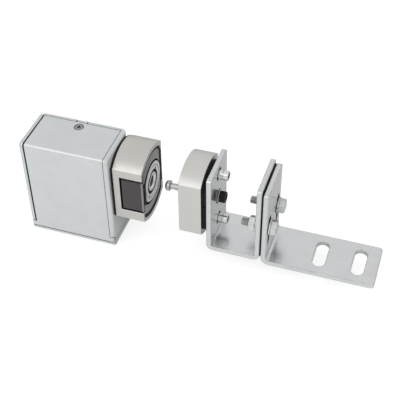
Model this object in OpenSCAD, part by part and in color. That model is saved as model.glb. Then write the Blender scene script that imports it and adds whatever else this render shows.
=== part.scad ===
// Electromagnetic gate lock: a folded sheet box with a round two-flat head, and an adjustable
// strike on two brackets. The origin is the centre of the box's back face, which bolts to a post.
// The lock looks along +X at the strike, the cover faces -Y, and +Z is up.

/* [Box] */
// Width of the box
box_w = 90; // [86:1:110]
// Depth of the box from the post to the cover
box_d = 52; // [50:1:60]
// Height of the box
box_h = 110; // [108:1:130]
// Thickness of the folded sheet
sheet_t = 1.5; // [1.2:0.1:2]
// Outer bend radius at the two back edges
back_bend_r = 6; // [4:0.5:7]
// Outer bend radius at the other edges
edge_bend_r = 3; // [2.2:0.2:4]
// Width of the flanges that frame the cover
flange_w = 4.5; // [4:0.5:6]
// Gap between the cover and the flanges
seam = 0.8; // [0.4:0.1:1]
// Height of the cover's side lips
lip_h = 6; // [4:0.5:8]
// Height of the cover's full-width band at the bottom
band_h = 10.5; // [9:0.5:12]
// Distance of the cover screws from the back face
cover_screw_y = 12; // [11:0.5:14]
// Thread diameter of the cover screws
cover_screw_d = 5; // [4:0.5:5]
// Head diameter of the cover screws
cover_head_d = 9.2; // [8:0.2:10]

/* [Post mount] */
// Width between the mounting holes
mount_w = 68; // [64:1:72]
// Height between the mounting holes
mount_h = 88; // [84:1:92]
// Diameter of the mounting holes
mount_hole_d = 6.6; // [5.5:0.1:9]
// Sideways place of the cable inlet
inlet_x = -20; // [-26:1:-16]
// Height of the cable inlet
inlet_z = -30; // [-32:1:-24]
// Bore of the cable grommet
inlet_bore_d = 8; // [6:0.5:9]

/* [Head] */
// Distance of the head's axis in front of the post
head_y = 19; // [18:0.5:21]
// Height of the head's axis
head_z = 11; // [8:0.5:14]
// Diameter of the head and of the strike block
head_d = 79; // [76:1:84]
// Distance between the two flats
flats_w = 54; // [52:0.5:60]
// Thickness of the gasket behind the head
head_gasket_t = 1.5; // [1:0.1:2]
// Length of the head shell
head_l = 29; // [28:0.5:34]
// Wall of the head shell
shell_wall = 3.2; // [2.5:0.1:3.4]
// Height of the windows in the flats
window_h = 41; // [36:1:44]
// Length of the windows, open at the face
window_l = 23; // [18:0.5:23.5]
// Gap between the shell and the core
core_gap = 1; // [0.6:0.1:1.2]
// Diameter of the receiver disc
disc_d = 42.6; // [38:0.2:46]
// Thickness of the receiver disc
disc_t = 5; // [4:0.5:6]
// Bore that takes the strike pin
socket_d = 12.6; // [11.6:0.2:14]

/* [Latch] */
// Travel of the latch plate
latch_travel = 7; // [6:0.5:8]
// Thickness of the latch plate and its arm
latch_t = 2.5; // [2:0.1:2.8]
// Width of the latch plate
latch_w = 24; // [22:1:26]
// Width of the latch arm
arm_w = 10; // [8:1:11]
// Distance of the latch plate behind the head's face
latch_depth = 12.4; // [12:0.1:13]
// Gap around the latch plate
latch_gap = 0.4; // [0.3:0.05:0.5]
// Distance of the arm's upper face below the head's axis
arm_drop = 26.5; // [26:0.5:28]
// Distance of the latch arm's end from the middle of the box
arm_end_x = 3; // [2:0.5:4]

/* [Solenoid] */
// Sideways place of the plunger
plunger_x = 20; // [19:0.5:21]
// Diameter of the plunger
plunger_d = 10; // [9:0.5:11]
// Length of the plunger above the latch arm
plunger_l = 30.5; // [28:0.5:32]
// Height of the solenoid frame
frame_h = 34; // [32:1:38]
// Width of the solenoid frame
frame_w = 26; // [24:1:27]
// Strip thickness of the solenoid frame
frame_t = 2.5; // [2:0.1:3]
// Diameter of the coil
coil_d = 28; // [26:0.5:29]
// Wall of the bobbin
bobbin_wall = 1; // [0.8:0.1:1.2]
// Wire diameter of the return spring
spring_wire_d = 1.2; // [0.8:0.1:1.4]
// Free turns of the return spring
spring_turns = 5; // [3:1:6]

/* [Switch] */
// Sideways place of the switch lever's pivot
switch_x = -14; // [-16:0.5:-13]
// Length of the switch lever
lever_l = 20.47; // [20:0.1:21]
// Thickness of the switch body
switch_t = 6.4; // [6:0.2:7]
// Height of the switch body
switch_h = 10.5; // [9:0.5:11]

/* [Board] */
// Width of the circuit board
board_w = 44; // [42:1:45]
// Height of the circuit board
board_h = 74; // [70:1:76]
// Thickness of the circuit board
board_t = 1.6; // [1.2:0.1:2]
// Room between the board and the cover
board_clear = 14.4; // [13:0.1:16]
// Width of the relay
relay_w = 19; // [15:0.5:22]
// Depth of the relay
relay_d = 10; // [8:0.5:12]
// Height of the relay
relay_h = 15.5; // [12:0.5:20]
// Diameter of the capacitor
capacitor_d = 10; // [6:0.5:12.5]
// Length of the capacitor
capacitor_l = 11.5; // [8:0.5:12.5]
// Number of terminals
terminal_ways = 6; // [2:1:7]
// Distance between the terminals
terminal_pitch = 5; // [3.5:0.5:5]
// Depth of the terminal block
terminal_d = 9.5; // [8:0.5:12]
// Height of the terminal block
terminal_h = 9; // [8:0.5:12]

/* [Strike block] */
// Gap between the head's face and the strike block
strike_gap = 35.5; // [32:0.5:45]
// Thickness of the strike block
block_t = 22; // [20:0.5:26]
// Length of the strike pin in front of the block
pin_l = 22.4; // [21:0.1:23]
// Diameter of the pin's head
pin_head_d = 10.4; // [9.6:0.1:10.6]
// Diameter of the pin's neck
pin_neck_d = 6; // [5:0.1:6.2]
// Length of the pin's head
pin_head_l = 5.6; // [5:0.1:6]
// Length of the pin's neck
pin_neck_l = 5.2; // [5:0.1:6]
// Diameter of the pin's root
pin_root_d = 8.8; // [8:0.2:10]
// Diameter of the guide studs
stud_d = 9.5; // [8:0.1:10]
// Distance between the guide studs
stud_pitch = 55.4; // [54:0.2:57]
// Length of the guide studs beyond the block
stud_l = 19; // [16:0.5:22]
// Diameter of the stud holes in the bracket
stud_hole_d = 13; // [12.6:0.2:15]
// Thickness of one rubber pad
pad_t = 2.25; // [2:0.05:3]

/* [Brackets] */
// Width of the flat bar
bar_w = 50.8; // [48:0.2:54]
// Thickness of the flat bar
bar_t = 5; // [4:0.5:6]
// Outer length of the U bracket
u_l = 52.5; // [50:0.5:60]
// Height of the U bracket
u_h = 87.2; // [84:0.2:92]
// Height of the U bracket above the pin's axis
u_top = 38.6; // [37:0.2:40]
// Outer bend radius of the U bracket
u_bend_r = 6.5; // [6:0.5:10]
// Thickness of the gasket between the brackets
bracket_gasket_t = 1; // [0.8:0.1:1.5]
// Sliding gap beside the L bracket's leg
slide_gap = 0.3; // [0.2:0.05:0.4]
// Height of the L bracket
l_h = 86.6; // [84:0.2:92]
// Height of the L bracket above the pin's axis
l_top = 35; // [33:0.2:37]
// Outer length of the L bracket
l_l = 108.7; // [104:0.1:120]
// Outer bend radius of the L bracket
l_bend_r = 8; // [6.5:0.5:10]
// Corner radius at the bars' free corners
bar_corner_r = 3.5; // [2:0.5:5]
// Distance of the adjusting bolts below the pin's axis
bolt_drop = 10; // [9:0.5:11]
// Distance between the adjusting bolts
bolt_pitch = 31; // [28:0.5:32]
// Thread diameter of the adjusting bolts
bolt_d = 8; // [7:0.5:8]
// Distance across the flats of the bolt heads and nuts
bolt_flats = 13; // [11:0.5:13]
// Distance that the L bracket can be raised
adjust_up = 18; // [12:1:18]
// Distance that the L bracket can be lowered
adjust_down = 9; // [4:1:9]
// Width of the slots in the L bracket's leg
leg_slot_w = 9; // [8.6:0.1:10]
// Width of the slots in the L bracket's base
base_slot_w = 12; // [9:0.5:14]
// Length of the slots in the L bracket's base
base_slot_l = 33; // [26:0.5:38]
// Distance between the slots in the L bracket's base
base_slot_pitch = 37; // [34:0.5:42]
// Distance of the outer base slot from the base's end
base_slot_end = 18.5; // [16:0.5:22]

/* [Hidden] */
$fn = 64;

// A small overlap that lets cuts pass through a face
eps = 0.1;
// Free fit between a shank and its hole, on the radius
free_fit = 0.1;
// Running fit of the plunger and the lever pin, on the radius
run_fit = 0.05;
// Gap that moving pieces keep from what stands still
gap = 0.3;
// Resting gap between stacked pieces that move against each other
seat = 0.3;

half_w = box_w / 2;
half_h = box_h / 2;
inner_x = half_w - sheet_t;
back_y = -sheet_t;
cover_edge_x = half_w - flange_w - seam;
flange_edge_x = half_w - flange_w;
side_bottom_z = -half_h + lip_h + seam;
band_z = -half_h + band_h;
tab_w = 10;
notch_w = 1.2;
front_bend_extra = 1;
cover_dimple_extra = 1;
screw_sink = 0.1;
cover_screw_l = 8;
cover_recess_w = 1.1;
cover_recess_depth = 1.6;
grommet_hole_extra = 2;
grommet_rim = 3.5;
grommet_rim_t = 1.8;
grommet_rim_taper = 0.6;
tab_edge_y = -cover_screw_y - cover_head_d / 2;
head_r = head_d / 2;
axis_y = -head_y;
pin_z = head_z;

gasket_x0 = half_w;
shell_x0 = gasket_x0 + head_gasket_t;
shell_floor = 3;
head_gasket_inset = 0.3;
window_corner_r = 0.8;
core_x0 = shell_x0 + shell_floor;
face_x = shell_x0 + head_l;
latch_x1 = face_x - latch_depth;
latch_x0 = latch_x1 - latch_t;
core_r = head_r - shell_wall - core_gap;
core_flats = flats_w - 2 * shell_wall - 2 * run_fit;
face_bevel = 2.2;
ring_lip = 1.2;
land_recess = 2.4;
land_gap = 0.2;
thin_groove_r = 16;
thin_groove_w = 1;
thin_groove_depth = 0.8;
deep_groove_r = 11;
deep_groove_w = 1.8;
deep_groove_depth = 2.4;
disc_edge = 0.4;
disc_face_back = 0.4;
socket_chamfer = 0.8;
bevel_r = disc_d / 2 + core_gap;
socket_r = socket_d / 2;
arm_top_z = pin_z - arm_drop;
arm_bottom_z = arm_top_z - latch_t;
plate_rim = 6;
plate_foot = 2;
plate_top_z = pin_z + socket_r + plate_rim;
plate_bottom_z = pin_z - latch_travel - plate_rim - plate_foot;
pocket_w = latch_w + 2 * latch_gap;
pocket_end_gap = 1;
pocket_top_z = plate_top_z + latch_travel + pocket_end_gap;
pocket_bottom_z = plate_bottom_z - pocket_end_gap;
keyhole_clear = 1.6;
keyhole_r = pin_head_d / 2 + keyhole_clear;
key_slot_r = pin_neck_d / 2 + gap;
arm_clear = 0.5;
arm_window_top_z = arm_top_z + latch_travel + arm_clear;
arm_window_bottom_z = arm_bottom_z - arm_clear;
arm_window_w = arm_w + 2 * arm_clear;

head_screw_d = 4;
head_screw_head_d = 7;
head_screw_head_h = 3;
head_screw_y = 9.5;
head_screw_z = 28;
head_screw_grip = 8;
head_screw_spare = 1;
head_screw_key = 3;
head_screw_key_depth = 2;

spring_room = 8.5;
frame_z0 = arm_top_z + latch_travel + spring_room;
frame_z1 = frame_z0 + frame_h;
frame_back_y = back_y;
bobbin_flange_t = 1.4;
bobbin_flange_over = 1;
slide_fit = 0.2;
frame_front_y = axis_y - coil_d / 2;
plunger_r = plunger_d / 2;
bobbin_bore_r = plunger_r + slide_fit;
plunger_top_z = arm_top_z + plunger_l;
stop_z0 = plunger_top_z + latch_travel + gap;
plunger_chamfer = 1;
plunger_stud_d = 5;
plunger_stud_spare = 1;
plunger_nut_flats = 8;
plunger_nut_h = 4;
spring_gap = 0.2;
spring_clear = 0.6;
spring_turn_gap = 0.45;
spring_r = plunger_r + spring_clear + spring_wire_d / 2;
spring_z0 = arm_top_z + spring_gap;
spring_z1 = frame_z0 - spring_gap;
solenoid_screw_d = 3;
solenoid_screw_head_d = 5.6;
solenoid_screw_inset = 4;

lever_t = 0.6;
lever_w = 4;
lever_tip_r = 1;
lever_pin_r = 0.6;
lever_hub_r = 1;
lever_z = arm_top_z + gap + lever_tip_r + latch_travel;
lever_angle = asin(latch_travel / lever_l);
switch_z0 = lever_z + lever_tip_r + gap;
switch_l = 20;
switch_ear_inset = 2;
switch_x0 = switch_x - switch_ear_inset;
ear_drop = 1.4;
ear_w = 3;
ear_gap = 0.3;
switch_screw_d = 2;
switch_screw_head_d = 3.8;
switch_screw_head_h = 1.3;
switch_screw_span = 9.5;
switch_screw_drop = 3;
bracket_t = 1.2;
bracket_rise = 3;
bracket_foot_h = 8;
bracket_shelf_z = switch_z0 + switch_h + bracket_rise;
bracket_y1 = axis_y + switch_t / 2;

board_inset = 3;
standoff_flats = 5;
board_screw_d = 3;
board_screw_head_d = 5.4;
board_screw_head_h = 2;
board_screw_grip = 6;
board_x0 = -half_w + back_bend_r + standoff_flats / sqrt(3) + free_fit - board_inset;
board_x1 = board_x0 + board_w;
board_z1 = board_h / 2 - 1;
board_z0 = board_z1 - board_h;
board_y0 = -box_d + sheet_t + board_clear;
board_y1 = board_y0 + board_t;
part_inset = 6;
relay_drop = 10;
capacitor_x = 33;
capacitor_drop = 18;
terminal_rise = 8;
terminal_mouth_w = 2.8;
terminal_mouth_h = 3.4;
terminal_mouth_depth = 5;
terminal_mouth_y = 2;
terminal_screw_z = 6;
terminal_screw_r = 1.7;
terminal_screw_depth = 2;

block_x0 = face_x + strike_gap;
block_x1 = block_x0 + block_t;
pad_x1 = block_x1 + pad_t;
u_x0 = pad_x1 + pad_t;
u_in_x0 = u_x0 + bar_t;
u_x1 = u_x0 + u_l;
u_in_x1 = u_x1 - bar_t;
u_z1 = pin_z + u_top;
u_z0 = u_z1 - u_h;
bar_y0 = axis_y - bar_w / 2;
bar_y1 = axis_y + bar_w / 2;
l_x0 = u_x1 + bracket_gasket_t + slide_gap;
l_x1 = l_x0 + bar_t;
l_end_x = l_x0 + l_l;
l_z1 = pin_z + l_top;
l_z0 = l_z1 - l_h;
bolt_z = pin_z - bolt_drop;
bolt_r = bolt_d / 2;
washer_t = 1.6;
washer_d = 16;
bolt_head_h = 5.5;
nut_h = 6.5;
bolt_tail = 7.1;
bolt_end_x = u_in_x1 - washer_t - nut_h - bolt_tail;
leg_slot_end_gap = 0.5;
gasket_top_inset = 1;
hex_edge = 0.2;
hex_over = 1.2;
centre_bolt_d = 8;
centre_cap_d = 12.6;
centre_cap_h = 7.6;
centre_washer_t = 1.4;
centre_washer_d = 17;
centre_thread_l = 13;
centre_thread_spare = 1;
centre_key = 6;
centre_key_depth = 4;
centre_hole_extra = 1;
stud_r = stud_d / 2;
stud_root_l = 12;
stud_bore_d = 6;
stud_bore_l = 7;
sleeve_wall = 1.3;
pin_thread_d = 8;
pin_thread_l = 8;
pin_dome_l = 3.2;
block_edge = 0.8;
pad_inset = 6;
pad_side_inset = 1;
pad_split = 0.8;
pad_split_z = 5;
pad_hole_fit = 0.4;

// Material left outside a rounded corner of radius r, with the corner at the origin
module corner_waste(r) {
    difference() {
        translate([-eps, -eps]) square(r + eps);
        translate([r, r]) circle(r);
    }
}

// Rectangle with its own radius at each corner, counted from bottom left, anticlockwise
module rounded_rect(x0, y0, x1, y1, r) {
    difference() {
        translate([x0, y0]) square([x1 - x0, y1 - y0]);
        if (r[0] > 0) translate([x0, y0]) corner_waste(r[0]);
        if (r[1] > 0) translate([x1, y0]) mirror([1, 0]) corner_waste(r[1]);
        if (r[2] > 0) translate([x1, y1]) mirror([1, 0]) mirror([0, 1]) corner_waste(r[2]);
        if (r[3] > 0) translate([x0, y1]) mirror([0, 1]) corner_waste(r[3]);
    }
}

// Axis-aligned block between two corners
module block(lo, hi) {
    translate(lo) cube([hi[0] - lo[0], hi[1] - lo[1], hi[2] - lo[2]]);
}

// Round bar along X from x0 to x1 at y, z
module rod_x(x0, x1, r, y = axis_y, z = pin_z, r_end = -1) {
    translate([x0, y, z]) rotate([0, 90, 0])
        cylinder(h = x1 - x0, r1 = r, r2 = r_end < 0 ? r : r_end);
}

// Round bar along Y from y0 to y1 at x, z
module rod_y(y0, y1, r, x, z, r_end = -1) {
    translate([x, y0, z]) rotate([-90, 0, 0])
        cylinder(h = y1 - y0, r1 = r, r2 = r_end < 0 ? r : r_end);
}

// Round bar along Z from z0 to z1 at x, y
module rod_z(z0, z1, r, x, y, r_end = -1) {
    translate([x, y, z0]) cylinder(h = z1 - z0, r1 = r, r2 = r_end < 0 ? r : r_end);
}

// Places a profile drawn as (Y, Z) along X from x0 to x1
module along_x(x0, x1) {
    translate([x0, 0, 0]) rotate([90, 0, 90]) linear_extrude(x1 - x0) children();
}

// Places a profile drawn as (X, Z) along Y from y0 to y1
module along_y(y0, y1) {
    translate([0, y1, 0]) rotate([90, 0, 0]) linear_extrude(y1 - y0) children();
}

// Outline of the head and of the strike block, drawn as (Y, Z), drawn in by inset
module head_outline(r, flats) {
    intersection() {
        translate([axis_y, pin_z]) circle(r, $fn = 96);
        translate([axis_y - flats / 2, pin_z - r - 1]) square([flats, 2 * r + 2]);
    }
}

// Slot outline drawn as (first, second) axes, centred, with round ends along the second
module slot_outline(w, l) {
    translate([-w / 2, -(l - w) / 2]) square([w, l - w]);
    for (side = [-1, 1]) translate([0, side * (l - w) / 2]) circle(w / 2);
}

// Hexagon outline with a distance across flats
module hex_outline(flats) {
    circle(flats / sqrt(3), $fn = 6);
}

// Solid box shape with its bends, drawn in by inset on every side
module box_shape(inset) {
    back_r = back_bend_r - inset;
    edge_r = edge_bend_r - inset;
    x = half_w - inset;
    y0 = -box_d + inset;
    z = half_h - inset;
    intersection() {
        translate([0, 0, -z]) linear_extrude(2 * z)
            rounded_rect(-x, y0, x, -inset, [edge_r, edge_r, back_r, back_r]);
        along_y(y0 - eps, eps) rounded_rect(-x, -z, x, z, [0, 0, edge_r, edge_r]);
        along_x(-half_w - eps, half_w + eps)
            rounded_rect(y0, -z, -inset, z, [edge_r, 0, edge_r, edge_r + front_bend_extra]);
    }
}

// Folded shell of the whole box, from which the channel and the cover are cut
module box_skin() {
    difference() {
        box_shape(0);
        box_shape(sheet_t);
    }
}

module mount_points() {
    for (x = [-1, 1], z = [-1, 1]) translate([x * mount_w / 2, 0, z * mount_h / 2]) children();
}

module back_channel() color([0.80, 0.82, 0.83]) {
    difference() {
        union() {
            difference() {
                box_skin();
                // Front and top opening for the cover
                block([-flange_edge_x, -box_d - eps, -half_h - eps],
                    [flange_edge_x, -flange_w, half_h + eps]);
                // Side walls stop above the cover's lips
                block([-half_w - eps, -box_d - eps, -half_h - eps],
                    [half_w + eps, -back_bend_r - seam, side_bottom_z]);
                // Flanges stop above the cover's full-width band
                block([-half_w - eps, -box_d - eps, -half_h - eps],
                    [half_w + eps, -box_d + sheet_t + seam, band_z + seam]);
                // Bottom sheet belongs to the cover
                block([-half_w - eps, -box_d - eps, -half_h - eps],
                    [half_w + eps, -sheet_t, -half_h + sheet_t + seam / 2]);
            }
            // Joggled tabs that carry the cover screws
            for (side = [-1, 1]) mirror([0, 0, side < 0 ? 1 : 0]) {
                block([-tab_w / 2, tab_edge_y, half_h - 2 * sheet_t],
                    [tab_w / 2, back_y + eps, half_h - sheet_t]);
            }
        }
        for (side = [-1, 1]) mirror([0, 0, side < 0 ? 1 : 0])
            rod_z(half_h - 3 * sheet_t, half_h, cover_screw_d / 2 + free_fit, 0, -cover_screw_y);
        // Relief notches beside each tab, open at the back
        for (side = [-1, 1])
            translate([side * (tab_w + notch_w) / 2, 0, 0])
                block([-notch_w / 2, -sheet_t - flange_w, half_h - sheet_t - eps],
                    [notch_w / 2, eps, half_h + eps]);
        mount_points() rod_y(-sheet_t - eps, eps, mount_hole_d / 2, 0, 0);
        rod_y(-sheet_t - eps, eps, inlet_bore_d / 2 + grommet_hole_extra, inlet_x, inlet_z);
        for (x = [-1, 1]) solenoid_screw_place(x)
            rod_y(-sheet_t - eps, eps, solenoid_screw_d / 2 + free_fit, 0, 0,
                solenoid_screw_head_d / 2 + free_fit);
        for (side = [-1, 1]) rod_y(-sheet_t - eps, eps, switch_screw_d / 2 + free_fit,
            switch_screw_x(side), switch_foot_z);
        for (x = [-1, 1], z = [-1, 1]) board_corner(x, z)
            rod_y(-sheet_t - eps, eps, board_screw_d / 2 + free_fit, 0, 0);
        // Openings for the head screws and the latch arm in the right wall
        head_screw_places() rod_x(inner_x - eps, half_w + eps, head_screw_d / 2 + free_fit, 0, 0);
        block([inner_x - eps, axis_y - arm_window_w / 2, arm_window_bottom_z],
            [half_w + eps, axis_y + arm_window_w / 2, arm_window_top_z]);
    }
}

module front_cover() color([0.78, 0.80, 0.82]) {
    dimple_d = cover_head_d + cover_dimple_extra;
    difference() {
        intersection() {
            box_skin();
            union() {
                // Front and top between the flanges
                block([-cover_edge_x, -box_d - eps, -half_h - eps],
                    [cover_edge_x, -flange_w - seam, half_h + eps]);
                // Full-width band at the bottom of the front
                block([-half_w - eps, -box_d - eps, -half_h - eps],
                    [half_w + eps, -box_d + sheet_t + seam / 2, band_z]);
                // Side lips
                block([-half_w - eps, -box_d - eps, -half_h - eps],
                    [half_w + eps, -back_bend_r - 2 * seam, -half_h + lip_h]);
                // Bottom up to the back wall
                block([-half_w - eps, -box_d - eps, -half_h - eps],
                    [half_w + eps, -sheet_t - seam / 2, -half_h + sheet_t]);
            }
        }
        for (side = [-1, 1]) mirror([0, 0, side < 0 ? 1 : 0]) {
            rod_z(half_h - sheet_t - eps, half_h + eps, cover_screw_d / 2 + free_fit, 0,
                -cover_screw_y);
            rod_z(half_h - sheet_t, half_h + eps, cover_screw_d / 2 + free_fit, 0,
                -cover_screw_y, dimple_d / 2);
        }
    }
}

module cover_screws() color([0.72, 0.73, 0.72]) {
    for (side = [-1, 1]) mirror([0, 0, side < 0 ? 1 : 0]) translate([0, -cover_screw_y, half_h])
        difference() {
            union() {
                translate([0, 0, -sheet_t + screw_sink])
                    cylinder(h = sheet_t - 3 * screw_sink, r1 = cover_screw_d / 2,
                        r2 = cover_head_d / 2 - 2 * screw_sink);
                translate([0, 0, -cover_screw_l])
                    cylinder(h = cover_screw_l - sheet_t + 2 * screw_sink, r = cover_screw_d / 2);
            }
            for (turn = [0, 90]) rotate(turn)
                translate([-cover_head_d / 4, -cover_recess_w / 2, -cover_recess_depth])
                    cube([cover_head_d / 2, cover_recess_w, 2 * cover_recess_depth]);
        }
}

module cable_grommet() color([0.08, 0.08, 0.08]) {
    bore_r = inlet_bore_d / 2;
    neck_r = bore_r + grommet_hole_extra - free_fit;
    rim_y = sheet_t + grommet_rim_t;
    translate([inlet_x, 0, inlet_z]) rotate([90, 0, 0]) rotate_extrude()
        polygon([[bore_r, 0], [neck_r, 0], [neck_r, sheet_t], [bore_r + grommet_rim, sheet_t],
            [bore_r + grommet_rim - grommet_rim_taper, rim_y], [bore_r, rim_y]]);
}

module head_gasket() color([0.09, 0.09, 0.10]) {
    difference() {
        along_x(gasket_x0, shell_x0)
            head_outline(head_r - head_gasket_inset, flats_w - 2 * head_gasket_inset);
        head_screw_places() rod_x(gasket_x0 - eps, shell_x0 + eps, head_screw_d / 2 + free_fit, 0, 0);
        block([gasket_x0 - eps, axis_y - arm_window_w / 2, arm_window_bottom_z],
            [shell_x0 + eps, axis_y + arm_window_w / 2, arm_window_top_z]);
    }
}

module head_screw_places() {
    for (y = [-1, 1], z = [-1, 1])
        translate([0, axis_y + y * head_screw_y, pin_z + z * head_screw_z]) children();
}

// Window in both flats, open at the face, drawn as (X, Z)
module window_outline(clear) {
    rounded_rect(face_x - window_l + clear, pin_z - window_h / 2 + clear,
        face_x + 1, pin_z + window_h / 2 - clear, [window_corner_r, 0, 0, window_corner_r]);
}

module head_shell() color([0.76, 0.75, 0.72]) {
    difference() {
        along_x(shell_x0, face_x) head_outline(head_r, flats_w);
        along_x(core_x0, face_x + eps) head_outline(head_r - shell_wall, flats_w - 2 * shell_wall);
        along_y(axis_y - head_r, axis_y + head_r) intersection() {
            window_outline(0);
            translate([core_x0 + eps, -half_h]) square([head_l, box_h]);
        }
        head_screw_places() rod_x(shell_x0 - eps, core_x0 + eps, head_screw_d / 2 + free_fit, 0, 0);
        block([shell_x0 - eps, axis_y - arm_window_w / 2, arm_window_bottom_z],
            [core_x0 + eps, axis_y + arm_window_w / 2, arm_window_top_z]);
    }
}

module head_core() color([0.30, 0.29, 0.30]) {
    land = core_flats / 2 + shell_wall - land_recess;
    difference() {
        union() {
            along_x(core_x0, face_x - face_bevel) head_outline(core_r, core_flats);
            // Bevelled face ring
            intersection() {
                rod_x(face_x - face_bevel - eps, face_x, core_r, r_end = bevel_r + ring_lip);
                along_x(core_x0, face_x) head_outline(core_r, core_flats);
            }
            // Lands that stand in the windows
            intersection() {
                along_y(axis_y - land, axis_y + land) window_outline(core_gap + land_gap);
                block([core_x0, axis_y - land, pin_z - window_h],
                    [face_x - face_bevel, axis_y + land, pin_z + window_h]);
            }
        }
        // Seat of the receiver disc with its dark groove
        rod_x(face_x - disc_t, face_x + eps, bevel_r);
        rod_x(core_x0 - eps, face_x, socket_r);
        // Pocket for the latch plate and its guide, open at the back
        block([core_x0 - eps, axis_y - pocket_w / 2, pocket_bottom_z],
            [latch_x1 + latch_gap / 2, axis_y + pocket_w / 2, pocket_top_z]);
        block([core_x0 - eps, axis_y - arm_window_w / 2, arm_window_bottom_z],
            [latch_x1 + latch_gap / 2, axis_y + arm_window_w / 2, pocket_bottom_z + eps]);
        head_screw_places()
            rod_x(core_x0 - eps, core_x0 + head_screw_grip + head_screw_spare,
                head_screw_d / 2 + free_fit, 0, 0);
    }
}

// Block that fills the pocket behind the latch plate and keeps the plate upright
module latch_guide() color([0.45, 0.45, 0.46]) {
    y0 = axis_y - pocket_w / 2 + free_fit;
    y1 = axis_y + pocket_w / 2 - free_fit;
    difference() {
        block([core_x0, y0, pocket_bottom_z + free_fit],
            [latch_x0 - latch_gap / 2, y1, pocket_top_z - free_fit]);
        rod_x(core_x0 - eps, latch_x0 + eps, socket_r);
        block([core_x0 - eps, axis_y - arm_window_w / 2, arm_window_bottom_z],
            [latch_x0 + eps, axis_y + arm_window_w / 2, arm_window_top_z]);
    }
}

module receiver_disc() color([0.70, 0.70, 0.69]) {
    disc_r = disc_d / 2;
    face = disc_t - disc_face_back;
    thin_floor = face - thin_groove_depth;
    deep_floor = face - deep_groove_depth;
    thin_in = thin_groove_r - thin_groove_w / 2;
    thin_out = thin_groove_r + thin_groove_w / 2;
    deep_in = deep_groove_r - deep_groove_w / 2;
    deep_out = deep_groove_r + deep_groove_w / 2;
    translate([face_x - disc_t, axis_y, pin_z]) rotate([0, 90, 0]) rotate_extrude($fn = 96)
        polygon([[socket_r, 0], [disc_r, 0], [disc_r, face - disc_edge], [disc_r - disc_edge, face],
            [thin_out, face], [thin_out, thin_floor], [thin_in, thin_floor], [thin_in, face],
            [deep_out, face], [deep_out, deep_floor], [deep_in, deep_floor], [deep_in, face],
            [socket_r + socket_chamfer, face], [socket_r, face - socket_chamfer]]);
}

module head_screws() color([0.55, 0.55, 0.56]) {
    head_screw_places() difference() {
        union() {
            rod_x(inner_x, core_x0 + head_screw_grip, head_screw_d / 2, 0, 0);
            rod_x(inner_x - head_screw_head_h, inner_x, head_screw_head_d / 2, 0, 0);
        }
        translate([inner_x - head_screw_head_h - eps, 0, 0]) rotate([0, 90, 0])
            linear_extrude(head_screw_key_depth) hex_outline(head_screw_key);
    }
}

module latch_plate() color([0.62, 0.62, 0.60]) {
    difference() {
        union() {
            block([latch_x0, axis_y - latch_w / 2, plate_bottom_z],
                [latch_x1, axis_y + latch_w / 2, plate_top_z]);
            block([latch_x0, axis_y - arm_w / 2, arm_bottom_z],
                [latch_x1, axis_y + arm_w / 2, plate_bottom_z + eps]);
            block([arm_end_x, axis_y - arm_w / 2, arm_bottom_z],
                [latch_x1, axis_y + arm_w / 2, arm_top_z]);
        }
        // Keyhole: the wide hole lets the pin's head in, the slot below it holds the neck
        rod_x(latch_x0 - eps, latch_x1 + eps, keyhole_r);
        block([latch_x0 - eps, axis_y - key_slot_r, pin_z - latch_travel],
            [latch_x1 + eps, axis_y + key_slot_r, pin_z]);
        rod_x(latch_x0 - eps, latch_x1 + eps, key_slot_r, z = pin_z - latch_travel);
        rod_z(arm_bottom_z - eps, arm_top_z + eps, plunger_stud_d / 2 + free_fit,
            plunger_x, axis_y);
    }
}

module plunger() color([0.68, 0.68, 0.66]) {
    stud_z0 = arm_bottom_z - plunger_nut_h - plunger_stud_spare;
    shoulder_z = plunger_top_z - plunger_chamfer;
    rod_z(arm_top_z, shoulder_z, plunger_r, plunger_x, axis_y);
    rod_z(shoulder_z, plunger_top_z, plunger_r, plunger_x, axis_y, plunger_r - plunger_chamfer);
    rod_z(stud_z0, arm_top_z, plunger_stud_d / 2, plunger_x, axis_y);
}

module plunger_nut() color([0.60, 0.60, 0.58]) {
    translate([plunger_x, axis_y, arm_bottom_z - plunger_nut_h]) difference() {
        linear_extrude(plunger_nut_h) hex_outline(plunger_nut_flats);
        translate([0, 0, -eps]) cylinder(h = plunger_nut_h + 2 * eps,
            r = plunger_stud_d / 2 + free_fit / 2);
    }
}

// Rise of the spring's two closed end turns, and of its open turns together
coil_end_rise = spring_wire_d + spring_turn_gap;
coil_open_rise = spring_z1 - spring_z0 - spring_wire_d - 2 * coil_end_rise;

// Height of the wire's centre above the spring's lower end after a number of turns
function coil_height(turn) = turn < 1 ? coil_end_rise * turn
    : turn > spring_turns + 1
    ? coil_end_rise + coil_open_rise + coil_end_rise * (turn - spring_turns - 1)
    : coil_end_rise + coil_open_rise * (turn - 1) / spring_turns;

// Coil spring as one unbroken tube, with closed ends
module return_spring() color([0.66, 0.67, 0.68]) {
    sides = 8;
    steps_per_turn = 18;
    count = (spring_turns + 2) * steps_per_turn;
    wire_r = spring_wire_d / 2;
    points = [for (i = [0:count], k = [0:sides - 1])
        let (turn = i / steps_per_turn, angle = 360 * turn, around = 360 * k / sides,
            r = spring_r + wire_r * cos(around))
        [r * cos(angle), r * sin(angle), coil_height(turn) + wire_r * sin(around)]];
    skin = [for (i = [0:count - 1], k = [0:sides - 1])
        let (a = i * sides + k, b = i * sides + (k + 1) % sides)
        each [[a, b, b + sides], [a, b + sides, a + sides]]];
    first_cap = [for (k = [1:sides - 2]) [0, k + 1, k]];
    last = count * sides;
    last_cap = [for (k = [1:sides - 2]) [last, last + k, last + k + 1]];
    echo(least_gap_between_turns = coil_end_rise - spring_wire_d);
    translate([plunger_x, axis_y, spring_z0 + wire_r])
        polyhedron(points = points, faces = concat(skin, first_cap, last_cap));
}

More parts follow.
